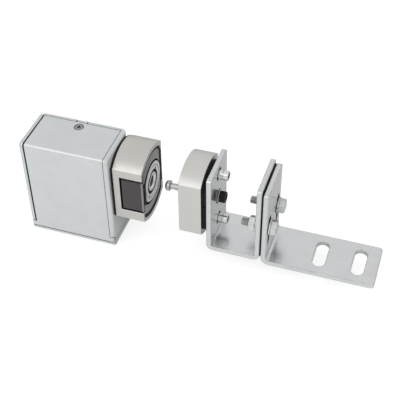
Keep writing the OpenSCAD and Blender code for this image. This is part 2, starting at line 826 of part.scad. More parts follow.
module solenoid_frame() color([0.58, 0.59, 0.60]) {
    x0 = plunger_x - frame_w / 2;
    x1 = plunger_x + frame_w / 2;
    difference() {
        union() {
            difference() {
                block([x0, frame_front_y, frame_z0], [x1, frame_back_y, frame_z1]);
                block([x0 - eps, frame_front_y - eps, frame_z0 + frame_t],
                    [x1 + eps, frame_back_y - frame_t, frame_z1 - frame_t]);
            }
            // Fixed stop that the plunger pulls up to
            rod_z(stop_z0, frame_z1 - frame_t + eps, plunger_r, plunger_x, axis_y);
        }
        rod_z(frame_z0 - eps, frame_z0 + frame_t + eps, bobbin_bore_r, plunger_x, axis_y);
        for (x = [-1, 1]) solenoid_screw_place(x)
            rod_y(back_y - frame_t - eps, back_y + eps, solenoid_screw_d / 2 + free_fit / 2, 0, 0);
    }
}

module solenoid_screw_place(side) {
    x = plunger_x + side * (frame_w / 2 - solenoid_screw_inset);
    translate([x, 0, frame_z0 + frame_h / 2]) children();
}

module solenoid_bobbin() color([0.86, 0.84, 0.76]) {
    z0 = frame_z0 + frame_t;
    h = frame_h - 2 * frame_t;
    tube_r = bobbin_bore_r + bobbin_wall;
    flange_r = coil_d / 2 - frame_t + bobbin_flange_over;
    translate([plunger_x, axis_y, z0]) rotate_extrude()
        polygon([[bobbin_bore_r, 0], [flange_r, 0], [flange_r, bobbin_flange_t],
            [tube_r, bobbin_flange_t], [tube_r, h - bobbin_flange_t],
            [flange_r, h - bobbin_flange_t], [flange_r, h], [bobbin_bore_r, h]]);
}

module solenoid_coil() color([0.62, 0.30, 0.12]) {
    z0 = frame_z0 + frame_t + bobbin_flange_t;
    h = frame_h - 2 * frame_t - 2 * bobbin_flange_t;
    outer_r = coil_d / 2 - frame_t;
    translate([plunger_x, axis_y, z0]) difference() {
        cylinder(h = h, r = outer_r);
        translate([0, 0, -eps]) cylinder(h = h + 2 * eps, r = bobbin_bore_r + bobbin_wall);
    }
}

module solenoid_screws() color([0.60, 0.60, 0.60]) {
    for (side = [-1, 1]) solenoid_screw_place(side) {
        rod_y(back_y - frame_t, back_y + eps, solenoid_screw_d / 2, 0, 0);
        rod_y(back_y, -screw_sink, solenoid_screw_d / 2, 0, 0,
            solenoid_screw_head_d / 2 - screw_sink);
    }
}

module switch_body() color([0.10, 0.10, 0.11]) {
    difference() {
        union() {
            block([switch_x0, axis_y - switch_t / 2, switch_z0],
                [switch_x0 + switch_l, axis_y + switch_t / 2, switch_z0 + switch_h]);
            for (side = [-1, 1]) mirror_y(side)
                block([switch_x - ear_w / 2, axis_y + lever_w / 2 + ear_gap, lever_z - ear_drop],
                    [switch_x + ear_w / 2, axis_y + switch_t / 2, switch_z0 + eps]);
        }
        rod_y(axis_y - switch_t, axis_y + switch_t, lever_pin_r + run_fit, switch_x, lever_z);
        for (side = [-1, 1]) rod_y(axis_y - switch_t, axis_y + switch_t,
            switch_screw_d / 2 + free_fit, switch_screw_x(side), switch_screw_z);
    }
}

// Mirrors across the plane through the head's axis when side is negative
module mirror_y(side) {
    translate([0, axis_y, 0]) mirror([0, side < 0 ? 1 : 0, 0]) translate([0, -axis_y, 0]) children();
}

function switch_screw_x(side) = switch_x0 + switch_l / 2 + side * switch_screw_span / 2;
switch_screw_z = switch_z0 + switch_h - switch_screw_drop;
switch_foot_z = bracket_shelf_z + bracket_foot_h / 2;

module switch_lever() color([0.74, 0.75, 0.76]) {
    translate([switch_x, axis_y, lever_z]) rotate([0, lever_angle, 0]) {
        translate([0, -lever_w / 2, -lever_t / 2]) cube([lever_l, lever_w, lever_t]);
        translate([lever_l, lever_w / 2, 0]) rotate([90, 0, 0])
            cylinder(h = lever_w, r = lever_tip_r);
        translate([0, lever_w / 2, 0]) rotate([90, 0, 0]) cylinder(h = lever_w, r = lever_hub_r);
        translate([0, switch_t / 2, 0]) rotate([90, 0, 0]) cylinder(h = switch_t, r = lever_pin_r);
    }
}

module switch_bracket() color([0.70, 0.71, 0.72]) {
    x0 = switch_x0;
    x1 = switch_x0 + switch_l;
    difference() {
        union() {
            block([x0, bracket_y1, switch_z0], [x1, bracket_y1 + bracket_t, bracket_shelf_z]);
            block([x0, bracket_y1, bracket_shelf_z - bracket_t], [x1, back_y, bracket_shelf_z]);
            block([x0, back_y - bracket_t, bracket_shelf_z - bracket_t],
                [x1, back_y, bracket_shelf_z + bracket_foot_h]);
        }
        for (side = [-1, 1]) {
            rod_y(bracket_y1 - eps, bracket_y1 + bracket_t + eps, switch_screw_d / 2 + free_fit / 2,
                switch_screw_x(side), switch_screw_z);
            rod_y(back_y - bracket_t - eps, back_y + eps, switch_screw_d / 2 + free_fit / 2,
                switch_screw_x(side), switch_foot_z);
        }
    }
}

module switch_screws() color([0.58, 0.58, 0.58]) {
    head_r_screw = switch_screw_head_d / 2;
    for (side = [-1, 1]) {
        rod_y(axis_y - switch_t / 2, bracket_y1 + 2 * bracket_t, switch_screw_d / 2,
            switch_screw_x(side), switch_screw_z);
        rod_y(axis_y - switch_t / 2 - switch_screw_head_h, axis_y - switch_t / 2, head_r_screw,
            switch_screw_x(side), switch_screw_z);
        rod_y(back_y - bracket_t, -free_fit, switch_screw_d / 2, switch_screw_x(side),
            switch_foot_z);
        rod_y(back_y - bracket_t - switch_screw_head_h, back_y - bracket_t, head_r_screw,
            switch_screw_x(side), switch_foot_z);
    }
}

module board_corner(x_side, z_side) {
    translate([x_side < 0 ? board_x0 + board_inset : board_x1 - board_inset, 0,
        z_side < 0 ? board_z0 + board_inset : board_z1 - board_inset]) children();
}

module circuit_board() color([0.10, 0.34, 0.20]) {
    difference() {
        block([board_x0, board_y0, board_z0], [board_x1, board_y1, board_z1]);
        for (x = [-1, 1], z = [-1, 1]) board_corner(x, z)
            rod_y(board_y0 - eps, board_y1 + eps, board_screw_d / 2 + free_fit, 0, 0);
    }
}

module board_relay() color([0.08, 0.22, 0.50]) {
    translate([board_x0 + part_inset, board_y0 - relay_d, board_z1 - relay_drop - relay_h])
        cube([relay_w, relay_d, relay_h]);
}

module board_capacitor() color([0.12, 0.12, 0.14]) {
    rod_y(board_y0 - capacitor_l, board_y0, capacitor_d / 2, board_x0 + capacitor_x,
        board_z1 - capacitor_drop);
}

module terminal_block() color([0.12, 0.42, 0.24]) {
    row_w = terminal_ways * terminal_pitch;
    translate([board_x0 + (board_w - row_w) / 2, board_y0 - terminal_d, board_z0 + terminal_rise])
        difference() {
            cube([row_w, terminal_d, terminal_h]);
            for (i = [0:terminal_ways - 1]) translate([terminal_pitch * (i + 0.5), 0, 0]) {
                translate([-terminal_mouth_w / 2, terminal_mouth_y, -eps])
                    cube([terminal_mouth_w, terminal_mouth_h, terminal_mouth_depth]);
                translate([0, -eps, terminal_screw_z]) rotate([-90, 0, 0])
                    cylinder(h = terminal_screw_depth, r = terminal_screw_r);
            }
        }
}

module board_standoffs() color([0.72, 0.62, 0.36]) {
    for (x = [-1, 1], z = [-1, 1]) board_corner(x, z) difference() {
        translate([0, board_y1, 0]) rotate([-90, 0, 0])
            linear_extrude(back_y - board_y1) hex_outline(standoff_flats);
        rod_y(board_y1 - eps, back_y + eps, board_screw_d / 2 + free_fit / 2, 0, 0);
    }
}

module board_screws() color([0.60, 0.60, 0.60]) {
    for (x = [-1, 1], z = [-1, 1]) board_corner(x, z) {
        rod_y(board_y0, board_y1 + board_screw_grip, board_screw_d / 2, 0, 0);
        rod_y(board_y0 - board_screw_head_h, board_y0, board_screw_head_d / 2, 0, 0);
        rod_y(back_y - board_screw_grip, -free_fit, board_screw_d / 2, 0, 0);
    }
}

module stud_places() {
    for (side = [-1, 1]) translate([0, axis_y, pin_z + side * stud_pitch / 2]) children();
}

module strike_block() color([0.77, 0.77, 0.76]) {
    difference() {
        union() {
            along_x(block_x0 + block_edge, block_x1) head_outline(head_r, flats_w);
            intersection() {
                rod_x(block_x0, block_x0 + block_edge + eps, head_r - block_edge, r_end = head_r + eps);
                along_x(block_x0, block_x1) head_outline(head_r, flats_w);
            }
        }
        rod_x(block_x0 - eps, block_x0 + pin_thread_l + free_fit, pin_thread_d / 2 + free_fit / 2);
        rod_x(block_x1 - centre_thread_l, block_x1 + eps, centre_bolt_d / 2 + free_fit / 2);
        stud_places() rod_x(block_x1 - stud_root_l, block_x1 + eps, stud_r + free_fit / 2, 0, 0);
    }
}

module strike_pin() color([0.74, 0.74, 0.73]) {
    tip_x = block_x0 - pin_l;
    head_pr = pin_head_d / 2;
    neck_x0 = tip_x + pin_head_l;
    neck_x1 = neck_x0 + pin_neck_l;
    dome_r = (head_pr * head_pr + pin_dome_l * pin_dome_l) / (2 * pin_dome_l);
    intersection() {
        rod_x(tip_x, neck_x0, head_pr);
        translate([tip_x + dome_r, axis_y, pin_z]) sphere(dome_r, $fn = 64);
    }
    rod_x(tip_x + pin_dome_l, neck_x0, head_pr);
    rod_x(neck_x0 - eps, neck_x1, pin_neck_d / 2);
    rod_x(neck_x1, block_x0, pin_neck_d / 2, r_end = pin_root_d / 2);
    rod_x(block_x0 - eps, block_x0 + pin_thread_l, pin_thread_d / 2);
}

module guide_studs() color([0.73, 0.73, 0.72]) {
    stud_places() difference() {
        rod_x(block_x1 - stud_root_l, block_x1 + stud_l, stud_r, 0, 0);
        rod_x(block_x1 + stud_l - stud_bore_l, block_x1 + stud_l + eps, stud_bore_d / 2, 0, 0);
    }
}

module stud_sleeves() color([0.08, 0.08, 0.08]) {
    stud_places() difference() {
        rod_x(block_x1, u_x0 - seat, stud_r + sleeve_wall, 0, 0);
        rod_x(block_x1 - eps, u_x0 + eps, stud_r + free_fit / 2, 0, 0);
    }
}

// One rubber pad layer in an upper and a lower piece, with holes for what passes through
module rubber_pad(x0, x1) {
    difference() {
        along_x(x0, x1) difference() {
            head_outline(head_r - pad_inset, bar_w - 2 * pad_side_inset);
            translate([axis_y - bar_w, pin_z + pad_split_z]) square([2 * bar_w, pad_split]);
        }
        rod_x(x0 - eps, x1 + eps, centre_bolt_d / 2 + pad_hole_fit);
        stud_places() rod_x(x0 - eps, x1 + eps, stud_r + sleeve_wall + pad_hole_fit, 0, 0);
    }
}

module pad_inner() color([0.08, 0.07, 0.07]) rubber_pad(block_x1, pad_x1);

module pad_outer() color([0.10, 0.09, 0.09]) rubber_pad(pad_x1, u_x0);

module centre_bolt() color([0.11, 0.11, 0.12]) {
    head_x0 = u_in_x0 + seat + centre_washer_t;
    rod_x(block_x1 - centre_thread_l + centre_thread_spare, head_x0 + eps, centre_bolt_d / 2);
    difference() {
        rod_x(head_x0, head_x0 + centre_cap_h, centre_cap_d / 2);
        translate([head_x0 + centre_cap_h - centre_key_depth, axis_y, pin_z]) rotate([0, 90, 0])
            linear_extrude(centre_key_depth + eps) hex_outline(centre_key);
    }
}

module centre_washer() color([0.13, 0.13, 0.13]) {
    x0 = u_in_x0 + seat;
    difference() {
        rod_x(x0, x0 + centre_washer_t, centre_washer_d / 2);
        rod_x(x0 - eps, x0 + centre_washer_t + eps, centre_bolt_d / 2 + free_fit / 2);
    }
}

// Bent flat bar of the U bracket, drawn as (X, Z)
module u_profile() {
    inner_r = u_bend_r - bar_t;
    difference() {
        rounded_rect(u_x0, u_z0, u_x1, u_z1, [u_bend_r, u_bend_r, 0, 0]);
        rounded_rect(u_in_x0, u_z0 + bar_t, u_in_x1, u_z1 + 1, [inner_r, inner_r, 0, 0]);
    }
}

// Flat bar's end seen along X, with two rounded free corners at the top
module bar_end_outline(z0, z1) {
    rounded_rect(bar_y0, z0, bar_y1, z1, [0, 0, bar_corner_r, bar_corner_r]);
}

module adjusting_places() {
    for (side = [-1, 1]) translate([0, axis_y + side * bolt_pitch / 2, bolt_z]) children();
}

module u_bracket() color([0.79, 0.80, 0.80]) {
    difference() {
        intersection() {
            along_y(bar_y0, bar_y1) u_profile();
            along_x(u_x0 - eps, u_x1 + eps) bar_end_outline(u_z0 - eps, u_z1);
        }
        stud_places() rod_x(u_x0 - eps, u_in_x0 + eps, stud_hole_d / 2, 0, 0);
        rod_x(u_x0 - eps, u_in_x0 + eps, centre_bolt_d / 2 + centre_hole_extra);
        adjusting_places() rod_x(u_in_x1 - eps, u_x1 + eps, bolt_r + free_fit, 0, 0);
    }
}

// Slots that let the L bracket move past the adjusting bolts
module leg_slots(x0, x1) {
    slot_z0 = bolt_z - bolt_r - adjust_up - leg_slot_end_gap;
    slot_z1 = bolt_z + bolt_r + adjust_down + leg_slot_end_gap;
    for (side = [-1, 1]) along_x(x0, x1)
        translate([axis_y + side * bolt_pitch / 2, (slot_z0 + slot_z1) / 2])
            slot_outline(leg_slot_w, slot_z1 - slot_z0);
}

module bracket_gasket() color([0.10, 0.10, 0.11]) {
    difference() {
        along_x(u_x1, u_x1 + bracket_gasket_t) bar_end_outline(u_z0 + u_bend_r, l_z1 - gasket_top_inset);
        adjusting_places() rod_x(u_x1 - eps, u_x1 + bracket_gasket_t + eps, bolt_r + free_fit, 0, 0);
    }
}

module l_bracket() color([0.79, 0.79, 0.78]) {
    inner_r = l_bend_r - bar_t;
    difference() {
        intersection() {
            along_y(bar_y0, bar_y1) difference() {
                rounded_rect(l_x0, l_z0, l_end_x, l_z1, [l_bend_r, 0, 0, 0]);
                rounded_rect(l_x1, l_z0 + bar_t, l_end_x + 1, l_z1 + 1, [inner_r, 0, 0, 0]);
            }
            along_x(l_x0 - eps, l_end_x + eps) bar_end_outline(l_z0 - eps, l_z1);
            translate([0, 0, l_z0 - eps]) linear_extrude(l_h + 2 * eps)
                rounded_rect(l_x0 - eps, bar_y0, l_end_x, bar_y1, [0, bar_corner_r, bar_corner_r, 0]);
        }
        leg_slots(l_x0 - eps, l_x1 + eps);
        for (i = [0, 1]) translate([l_end_x - base_slot_end - i * base_slot_pitch, axis_y, l_z0])
            translate([0, 0, -eps]) linear_extrude(bar_t + 2 * eps)
                slot_outline(base_slot_w, base_slot_l);
    }
}

module adjusting_bolts() color([0.74, 0.75, 0.74]) {
    head_x0 = l_x1 + slide_gap + washer_t;
    adjusting_places() {
        rod_x(bolt_end_x, head_x0 + eps, bolt_r, 0, 0);
        intersection() {
            translate([head_x0, 0, 0]) rotate([0, 90, 0])
                linear_extrude(bolt_head_h) hex_outline(bolt_flats);
            rod_x(head_x0, head_x0 + bolt_head_h, bolt_flats / sqrt(3) + hex_over, 0, 0,
                bolt_flats / 2 - hex_edge);
        }
    }
}

module bolt_washers() color([0.72, 0.73, 0.73]) {
    for (x = [l_x1 + slide_gap, u_in_x1 - washer_t]) adjusting_places() difference() {
        rod_x(x, x + washer_t, washer_d / 2, 0, 0);
        rod_x(x - eps, x + washer_t + eps, bolt_r + free_fit, 0, 0);
    }
}

module bolt_nuts() color([0.74, 0.75, 0.74]) {
    x1 = u_in_x1 - washer_t;
    adjusting_places() difference() {
        intersection() {
            translate([x1 - nut_h, 0, 0]) rotate([0, 90, 0])
                linear_extrude(nut_h) hex_outline(bolt_flats);
            rod_x(x1 - nut_h, x1, bolt_flats / 2 - hex_edge, 0, 0,
                bolt_flats / sqrt(3) + hex_over);
        }
        rod_x(x1 - nut_h - eps, x1 + eps, bolt_r + free_fit / 2, 0, 0);
    }
}

back_channel();
front_cover();
cover_screws();
cable_grommet();
head_gasket();
head_shell();
head_core();
latch_guide();
receiver_disc();
head_screws();
latch_plate();
plunger();
plunger_nut();
return_spring();
solenoid_frame();
solenoid_bobbin();
solenoid_coil();
solenoid_screws();
switch_body();
switch_lever();
switch_bracket();
switch_screws();
circuit_board();
board_relay();
board_capacitor();
terminal_block();
board_standoffs();
board_screws();
strike_block();
strike_pin();
guide_studs();
stud_sleeves();
centre_bolt();
centre_washer();
pad_inner();
pad_outer();
u_bracket();
bracket_gasket();
l_bracket();
adjusting_bolts();
bolt_washers();
bolt_nuts();
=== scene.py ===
import logging
import math
from dataclasses import dataclass
from enum import Enum
from typing import Callable, Iterable, Optional, Union

import bmesh
import bpy
from mathutils import Matrix, Vector


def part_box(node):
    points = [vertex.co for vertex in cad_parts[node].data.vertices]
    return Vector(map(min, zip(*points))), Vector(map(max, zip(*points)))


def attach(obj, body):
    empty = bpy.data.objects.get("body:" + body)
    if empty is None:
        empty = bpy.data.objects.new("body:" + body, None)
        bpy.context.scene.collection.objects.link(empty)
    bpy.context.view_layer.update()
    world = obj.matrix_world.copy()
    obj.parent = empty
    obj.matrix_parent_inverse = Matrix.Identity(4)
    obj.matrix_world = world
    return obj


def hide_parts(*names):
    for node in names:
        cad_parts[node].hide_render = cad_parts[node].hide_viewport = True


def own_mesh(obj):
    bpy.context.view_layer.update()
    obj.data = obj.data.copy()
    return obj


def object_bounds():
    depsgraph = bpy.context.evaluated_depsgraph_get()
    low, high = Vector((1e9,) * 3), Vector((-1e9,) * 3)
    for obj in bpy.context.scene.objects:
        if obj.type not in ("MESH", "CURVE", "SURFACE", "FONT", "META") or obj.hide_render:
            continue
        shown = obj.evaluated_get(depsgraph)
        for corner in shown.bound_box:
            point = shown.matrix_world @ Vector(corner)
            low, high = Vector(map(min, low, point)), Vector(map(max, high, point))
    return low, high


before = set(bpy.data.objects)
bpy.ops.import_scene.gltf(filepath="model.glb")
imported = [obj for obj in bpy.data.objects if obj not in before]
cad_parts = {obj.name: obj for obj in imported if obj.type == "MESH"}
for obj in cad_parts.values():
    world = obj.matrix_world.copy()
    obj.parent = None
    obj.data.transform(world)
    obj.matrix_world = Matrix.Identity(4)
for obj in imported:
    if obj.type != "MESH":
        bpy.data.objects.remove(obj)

log = logging.getLogger("lock")
CAD_BOX = [list(corner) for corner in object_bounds()]

Node = bpy.types.Node
Socket = bpy.types.NodeSocket
Thing = bpy.types.Object
Row = list[bmesh.types.BMVert]
Value = Union[float, Socket]
Triple = tuple[float, float, float]
Quad = tuple[float, float, float, float]
Point = tuple[float, float]
Outline = list[Point]
Place = Callable[[float, float, float], Vector]

MM = 0.001
SIDES = (-1.0, 1.0)

# Sizes that several sub-assemblies share, in millimetres: the head's axis, how far the studs and the
# adjusting bolts lie from it, the head screws' offsets and radius, and the passage of the latch's arm
HEAD_Y, HEAD_Z = -19.0, 11.0
STUD_RISE = 27.7
BOLT_SPREAD = 15.5
HEAD_SCREWS = (9.5, 28.0, 2.1)
ARM_Y, ARM_Z = (-24.5, -13.5), (-18.5, -8.0)

# The box's right side and its back in metres, which no folded sheet passes
SHEET_ENDS = (0.045, 0.0)

WHITE = (1.0, 1.0, 1.0, 1.0)

# Parts of a main colour that the painted shade in recesses and the other painted shade keep, and the openness where
# they begin and are full
RECESS_SHADE_TONE = 0.04
SHADE_TONE = 0.30
SHUT_IN = (0.80, 0.28)


# Node sheets and shared effects

class Sheet:
    """A node tree with short calls for adding and joining nodes."""

    def __init__(self, tree: bpy.types.NodeTree) -> None:
        """Keeps the tree that the calls add to."""
        self.tree = tree

    def feed(self, node: Node, feeds: dict) -> None:
        """Fills a node's inputs.

        Args:
            node: the node.
            feeds: sockets to join or plain values, by the input's name or index.
        """
        for key, value in feeds.items():
            if isinstance(value, Socket):
                self.tree.links.new(value, node.inputs[key])
            else:
                node.inputs[key].default_value = value

    def add(self, kind: str, feeds: Optional[dict] = None, **settings: object) -> Node:
        """Adds a node.

        Args:
            kind: Blender's name of the node type.
            feeds: what goes into its inputs.
            settings: the node's properties.

        Returns:
            The new node.
        """
        node = self.tree.nodes.new(kind)
        for key, value in settings.items():
            setattr(node, key, value)
        self.feed(node, feeds or {})
        return node

    def math(self, operation: str, a: Value, b: Value, clamp: bool = False) -> Socket:
        """Calculates with two values."""
        return self.add("ShaderNodeMath", {0: a, 1: b}, operation=operation, use_clamp=clamp).outputs[0]

    def weigh(self, a: Socket, a_share: float, b: Socket, b_share: float, clamp: bool = False) -> Socket:
        """Adds two values, each times its share."""
        return self.math("ADD", self.math("MULTIPLY", a, a_share), self.math("MULTIPLY", b, b_share), clamp)

    def remap(self, value: Socket, low: float, high: float, to_low: Value = 0.0, to_high: Value = 1.0) -> Socket:
        """Stretches a value from one range to another, and holds it there."""
        return self.add("ShaderNodeMapRange", {0: value, 1: low, 2: high, 3: to_low, 4: to_high}).outputs[0]

    def mix(self, mask: Socket, first: Union[Quad, Socket], second: Quad) -> Socket:
        """Blends two colours by a mask."""
        return self.add("ShaderNodeMix", {0: mask, 6: first, 7: second}, data_type="RGBA").outputs[2]

    def where(self) -> Socket:
        """The place on the object, in metres of the lock's own frame."""
        return self.add("ShaderNodeTexCoord").outputs["Object"]

    def split(self, vector: Socket) -> bpy.types.NodeOutputs:
        """The vector's X, Y and Z."""
        return self.add("ShaderNodeSeparateXYZ", {0: vector}).outputs

    def noise(self, where: Socket, scale: Value, detail: float, rough: float = 0.5) -> bpy.types.NodeOutputs:
        """Adds a noise."""
        feeds = {"Vector": where, "Scale": scale, "Detail": detail, "Roughness": rough}
        return self.add("ShaderNodeTexNoise", feeds).outputs

    def shut_in(self, reach: Socket) -> Socket:
        """How shut in each spot is by what lies within reach, from 0 to 1."""
        around = self.add("ShaderNodeAmbientOcclusion", {"Distance": reach}, samples=8)
        return self.remap(around.outputs["AO"], *SHUT_IN)


class Effect:
    """A shader node group that several finishes place with their own values."""

    title = "effect"
    inputs: dict[str, object] = {}
    made: Optional[bpy.types.NodeTree] = None

    @classmethod
    def draw(cls, sheet: Sheet, given: bpy.types.NodeOutputs) -> dict[str, Socket]:
        """Fills the group and names what it gives. Each effect has its own.

        Args:
            sheet: the group's sheet.
            given: the group's inputs.

        Returns:
            What the group gives, by name.
        """
        raise NotImplementedError

    @classmethod
    def place(cls, sheet: Sheet, **values: object) -> bpy.types.NodeOutputs:
        """Places the group in a material, and builds it the first time.

        Args:
            sheet: the material's sheet.
            values: the group's inputs by name.

        Returns:
            What the group gives, by name.
        """
        if cls.made is None:
            cls.made = bpy.data.node_groups.new(cls.title, "ShaderNodeTree")
            sockets = cls.made.interface
            for name, value in cls.inputs.items():
                kind = "NodeSocketVector" if isinstance(value, tuple) else "NodeSocketFloat"
                sockets.new_socket(name=name, in_out="INPUT", socket_type=kind).default_value = value
            inner = Sheet(cls.made)
            given = cls.draw(inner, inner.add("NodeGroupInput").outputs)
            for name in given:
                sockets.new_socket(name=name, in_out="OUTPUT", socket_type="NodeSocketFloat")
            inner.add("NodeGroupOutput", given)
        return sheet.add("ShaderNodeGroup", values, node_tree=cls.made).outputs


class PlatingMottle(Effect):
    """Soft cloudy patches and fine crystals of a bright zinc plating."""

    title = "plating_mottle"
    inputs = {"Scale": 60.0}
    crystals = 900.0
    drift = (0.012, 0.012, 0.012)

    @classmethod
    def draw(cls, sheet: Sheet, given: bpy.types.NodeOutputs) -> dict[str, Socket]:
        """Mixes a warped noise with a fine cell pattern.

        Args:
            sheet: the group's sheet.
            given: the group's inputs.

        Returns:
            What the group gives, by name.
        """
        where = sheet.where()
        warp = sheet.noise(where, 30.0, 2.0)["Color"]
        shift = sheet.add("ShaderNodeVectorMath", {0: warp, 1: cls.drift, 2: where}, operation="MULTIPLY_ADD")
        clouds = sheet.noise(shift.outputs[0], given["Scale"], 4.0, 0.55)["Fac"]
        cells = sheet.add("ShaderNodeTexVoronoi", {"Vector": where, "Scale": cls.crystals}, feature="SMOOTH_F1")
        grey = sheet.add("ShaderNodeRGBToBW", {0: cells.outputs["Color"]}).outputs[0]
        patches = sheet.remap(clouds, 0.3, 0.7)
        return {"Patches": patches, "Crystals": grey, "Height": sheet.weigh(clouds, 1.0, grey, 0.2)}


class DrawnGrain(Effect):
    """Fine parallel lines of brushed or drawn metal."""

    title = "drawn_grain"
    inputs = {"Scale": (60.0, 1200.0, 1200.0)}

    @classmethod
    def draw(cls, sheet: Sheet, given: bpy.types.NodeOutputs) -> dict[str, Socket]:
        """Stretches two noises along the grain.

        Args:
            sheet: the group's sheet.
            given: the group's inputs.

        Returns:
            What the group gives, by name.
        """
        stretch = sheet.add("ShaderNodeVectorMath", {0: sheet.where(), 1: given["Scale"]}, operation="MULTIPLY")
        fine = sheet.noise(stretch.outputs[0], 1.0, 3.0, 0.6)["Fac"]
        broad = sheet.noise(stretch.outputs[0], 0.22, 1.0)["Fac"]
        height = sheet.weigh(fine, 0.7, broad, 0.3)
        return {"Lines": sheet.math("ADD", height, 0.0, clamp=True), "Height": height}


class TurnedRings(Effect):
    """Fine rings about the head's axis, as a lathe leaves on a face."""

    title = "turned_rings"
    inputs = {"Pitch": 0.0004}

    @classmethod
    def draw(cls, sheet: Sheet, given: bpy.types.NodeOutputs) -> dict[str, Socket]:
        """Turns the distance from the axis into a wavy row of rings, and adds broad patches.

        Args:
            sheet: the group's sheet.
            given: the group's inputs.

        Returns:
            What the group gives, by name.
        """
        where = sheet.where()
        centre = (0.0, HEAD_Y * MM, HEAD_Z * MM)
        off = sheet.add("ShaderNodeVectorMath", {0: where, 1: centre}, operation="SUBTRACT").outputs[0]
        flat = sheet.add("ShaderNodeVectorMath", {0: off, 1: (0.0, 1.0, 1.0)}, operation="MULTIPLY").outputs[0]
        reach = sheet.add("ShaderNodeVectorMath", {0: flat}, operation="LENGTH").outputs["Value"]
        turns = sheet.math("DIVIDE", reach, given["Pitch"])
        feeds = {"W": turns, "Scale": 1.0, "Detail": 3.0, "Roughness": 0.7}
        rows = sheet.add("ShaderNodeTexNoise", feeds, noise_dimensions="1D").outputs["Fac"]
        return {"Rings": rows, "Sweep": sheet.noise(where, 45.0, 2.0)["Fac"]}


class EdgeWearAndHighlight(Effect):
    """A mask of the outer edges, broken up by noise, for rubbed wear and for painted highlights and shade lines."""

    title = "edge_wear_and_highlight"
    inputs = {"Width": 0.0006}
    breaks = 220.0

    @classmethod
    def draw(cls, sheet: Sheet, given: bpy.types.NodeOutputs) -> dict[str, Socket]:
        """Compares the true normal with one rounded over the edges.

        Args:
            sheet: the group's sheet.
            given: the group's inputs.

        Returns:
            What the group gives, by name.
        """
        rounded = sheet.add("ShaderNodeBevel", {"Radius": given["Width"]}, samples=4).outputs["Normal"]
        true = sheet.add("ShaderNodeNewGeometry").outputs["Normal"]
        alike = sheet.add("ShaderNodeVectorMath", {0: rounded, 1: true}, operation="DOT_PRODUCT").outputs["Value"]
        rubbed = sheet.remap(sheet.noise(sheet.where(), cls.breaks, 3.0)["Fac"], 0.35, 0.6, 0.25, 1.0)
        return {"Mask": sheet.math("MULTIPLY", sheet.remap(alike, 0.995, 0.9), rubbed)}


class SurfaceDust(Effect):
    """A thin veil of dust, thickest on faces that look up."""

    title = "surface_dust"
    inputs = {"Scale": 35.0}

    @classmethod
    def draw(cls, sheet: Sheet, given: bpy.types.NodeOutputs) -> dict[str, Socket]:
        """Fades a broad noise by the slope.

        Args:
            sheet: the group's sheet.
            given: the group's inputs.

        Returns:
            What the group gives, by name.
        """
        up = sheet.split(sheet.add("ShaderNodeNewGeometry").outputs["Normal"])["Z"]
        veil = sheet.remap(sheet.noise(sheet.where(), given["Scale"], 3.0)["Fac"], 0.4, 0.75)
        return {"Veil": sheet.math("MULTIPLY", veil, sheet.remap(up, 0.2, 0.9, 0.15, 1.0))}


class RecessShade(Effect):
    """Painted shade in threads, grooves and seams, from how shut in each spot is."""

    title = "painted_recess_shade"
    inputs = {"Reach": 0.0025}

    @classmethod
    def draw(cls, sheet: Sheet, given: bpy.types.NodeOutputs) -> dict[str, Socket]:
        """Measures how shut in each spot is."""
        return {"Mask": sheet.shut_in(given["Reach"])}


class NeighbourShade(Effect):
    """Painted shade on the wall that carries a neighbour."""

    title = "neighbour_shade"
    inputs = {"Reach": 0.05, "Side": 0.0415}
    fade = 0.003

    @classmethod
    def draw(cls, sheet: Sheet, given: bpy.types.NodeOutputs) -> dict[str, Socket]:
        """Measures how shut in each spot is, to the right of the given X only."""
        past = sheet.math("SUBTRACT", sheet.split(sheet.where())["X"], given["Side"])
        return {"Mask": sheet.math("MULTIPLY", sheet.shut_in(given["Reach"]), sheet.remap(past, 0.0, cls.fade))}


# Finishes

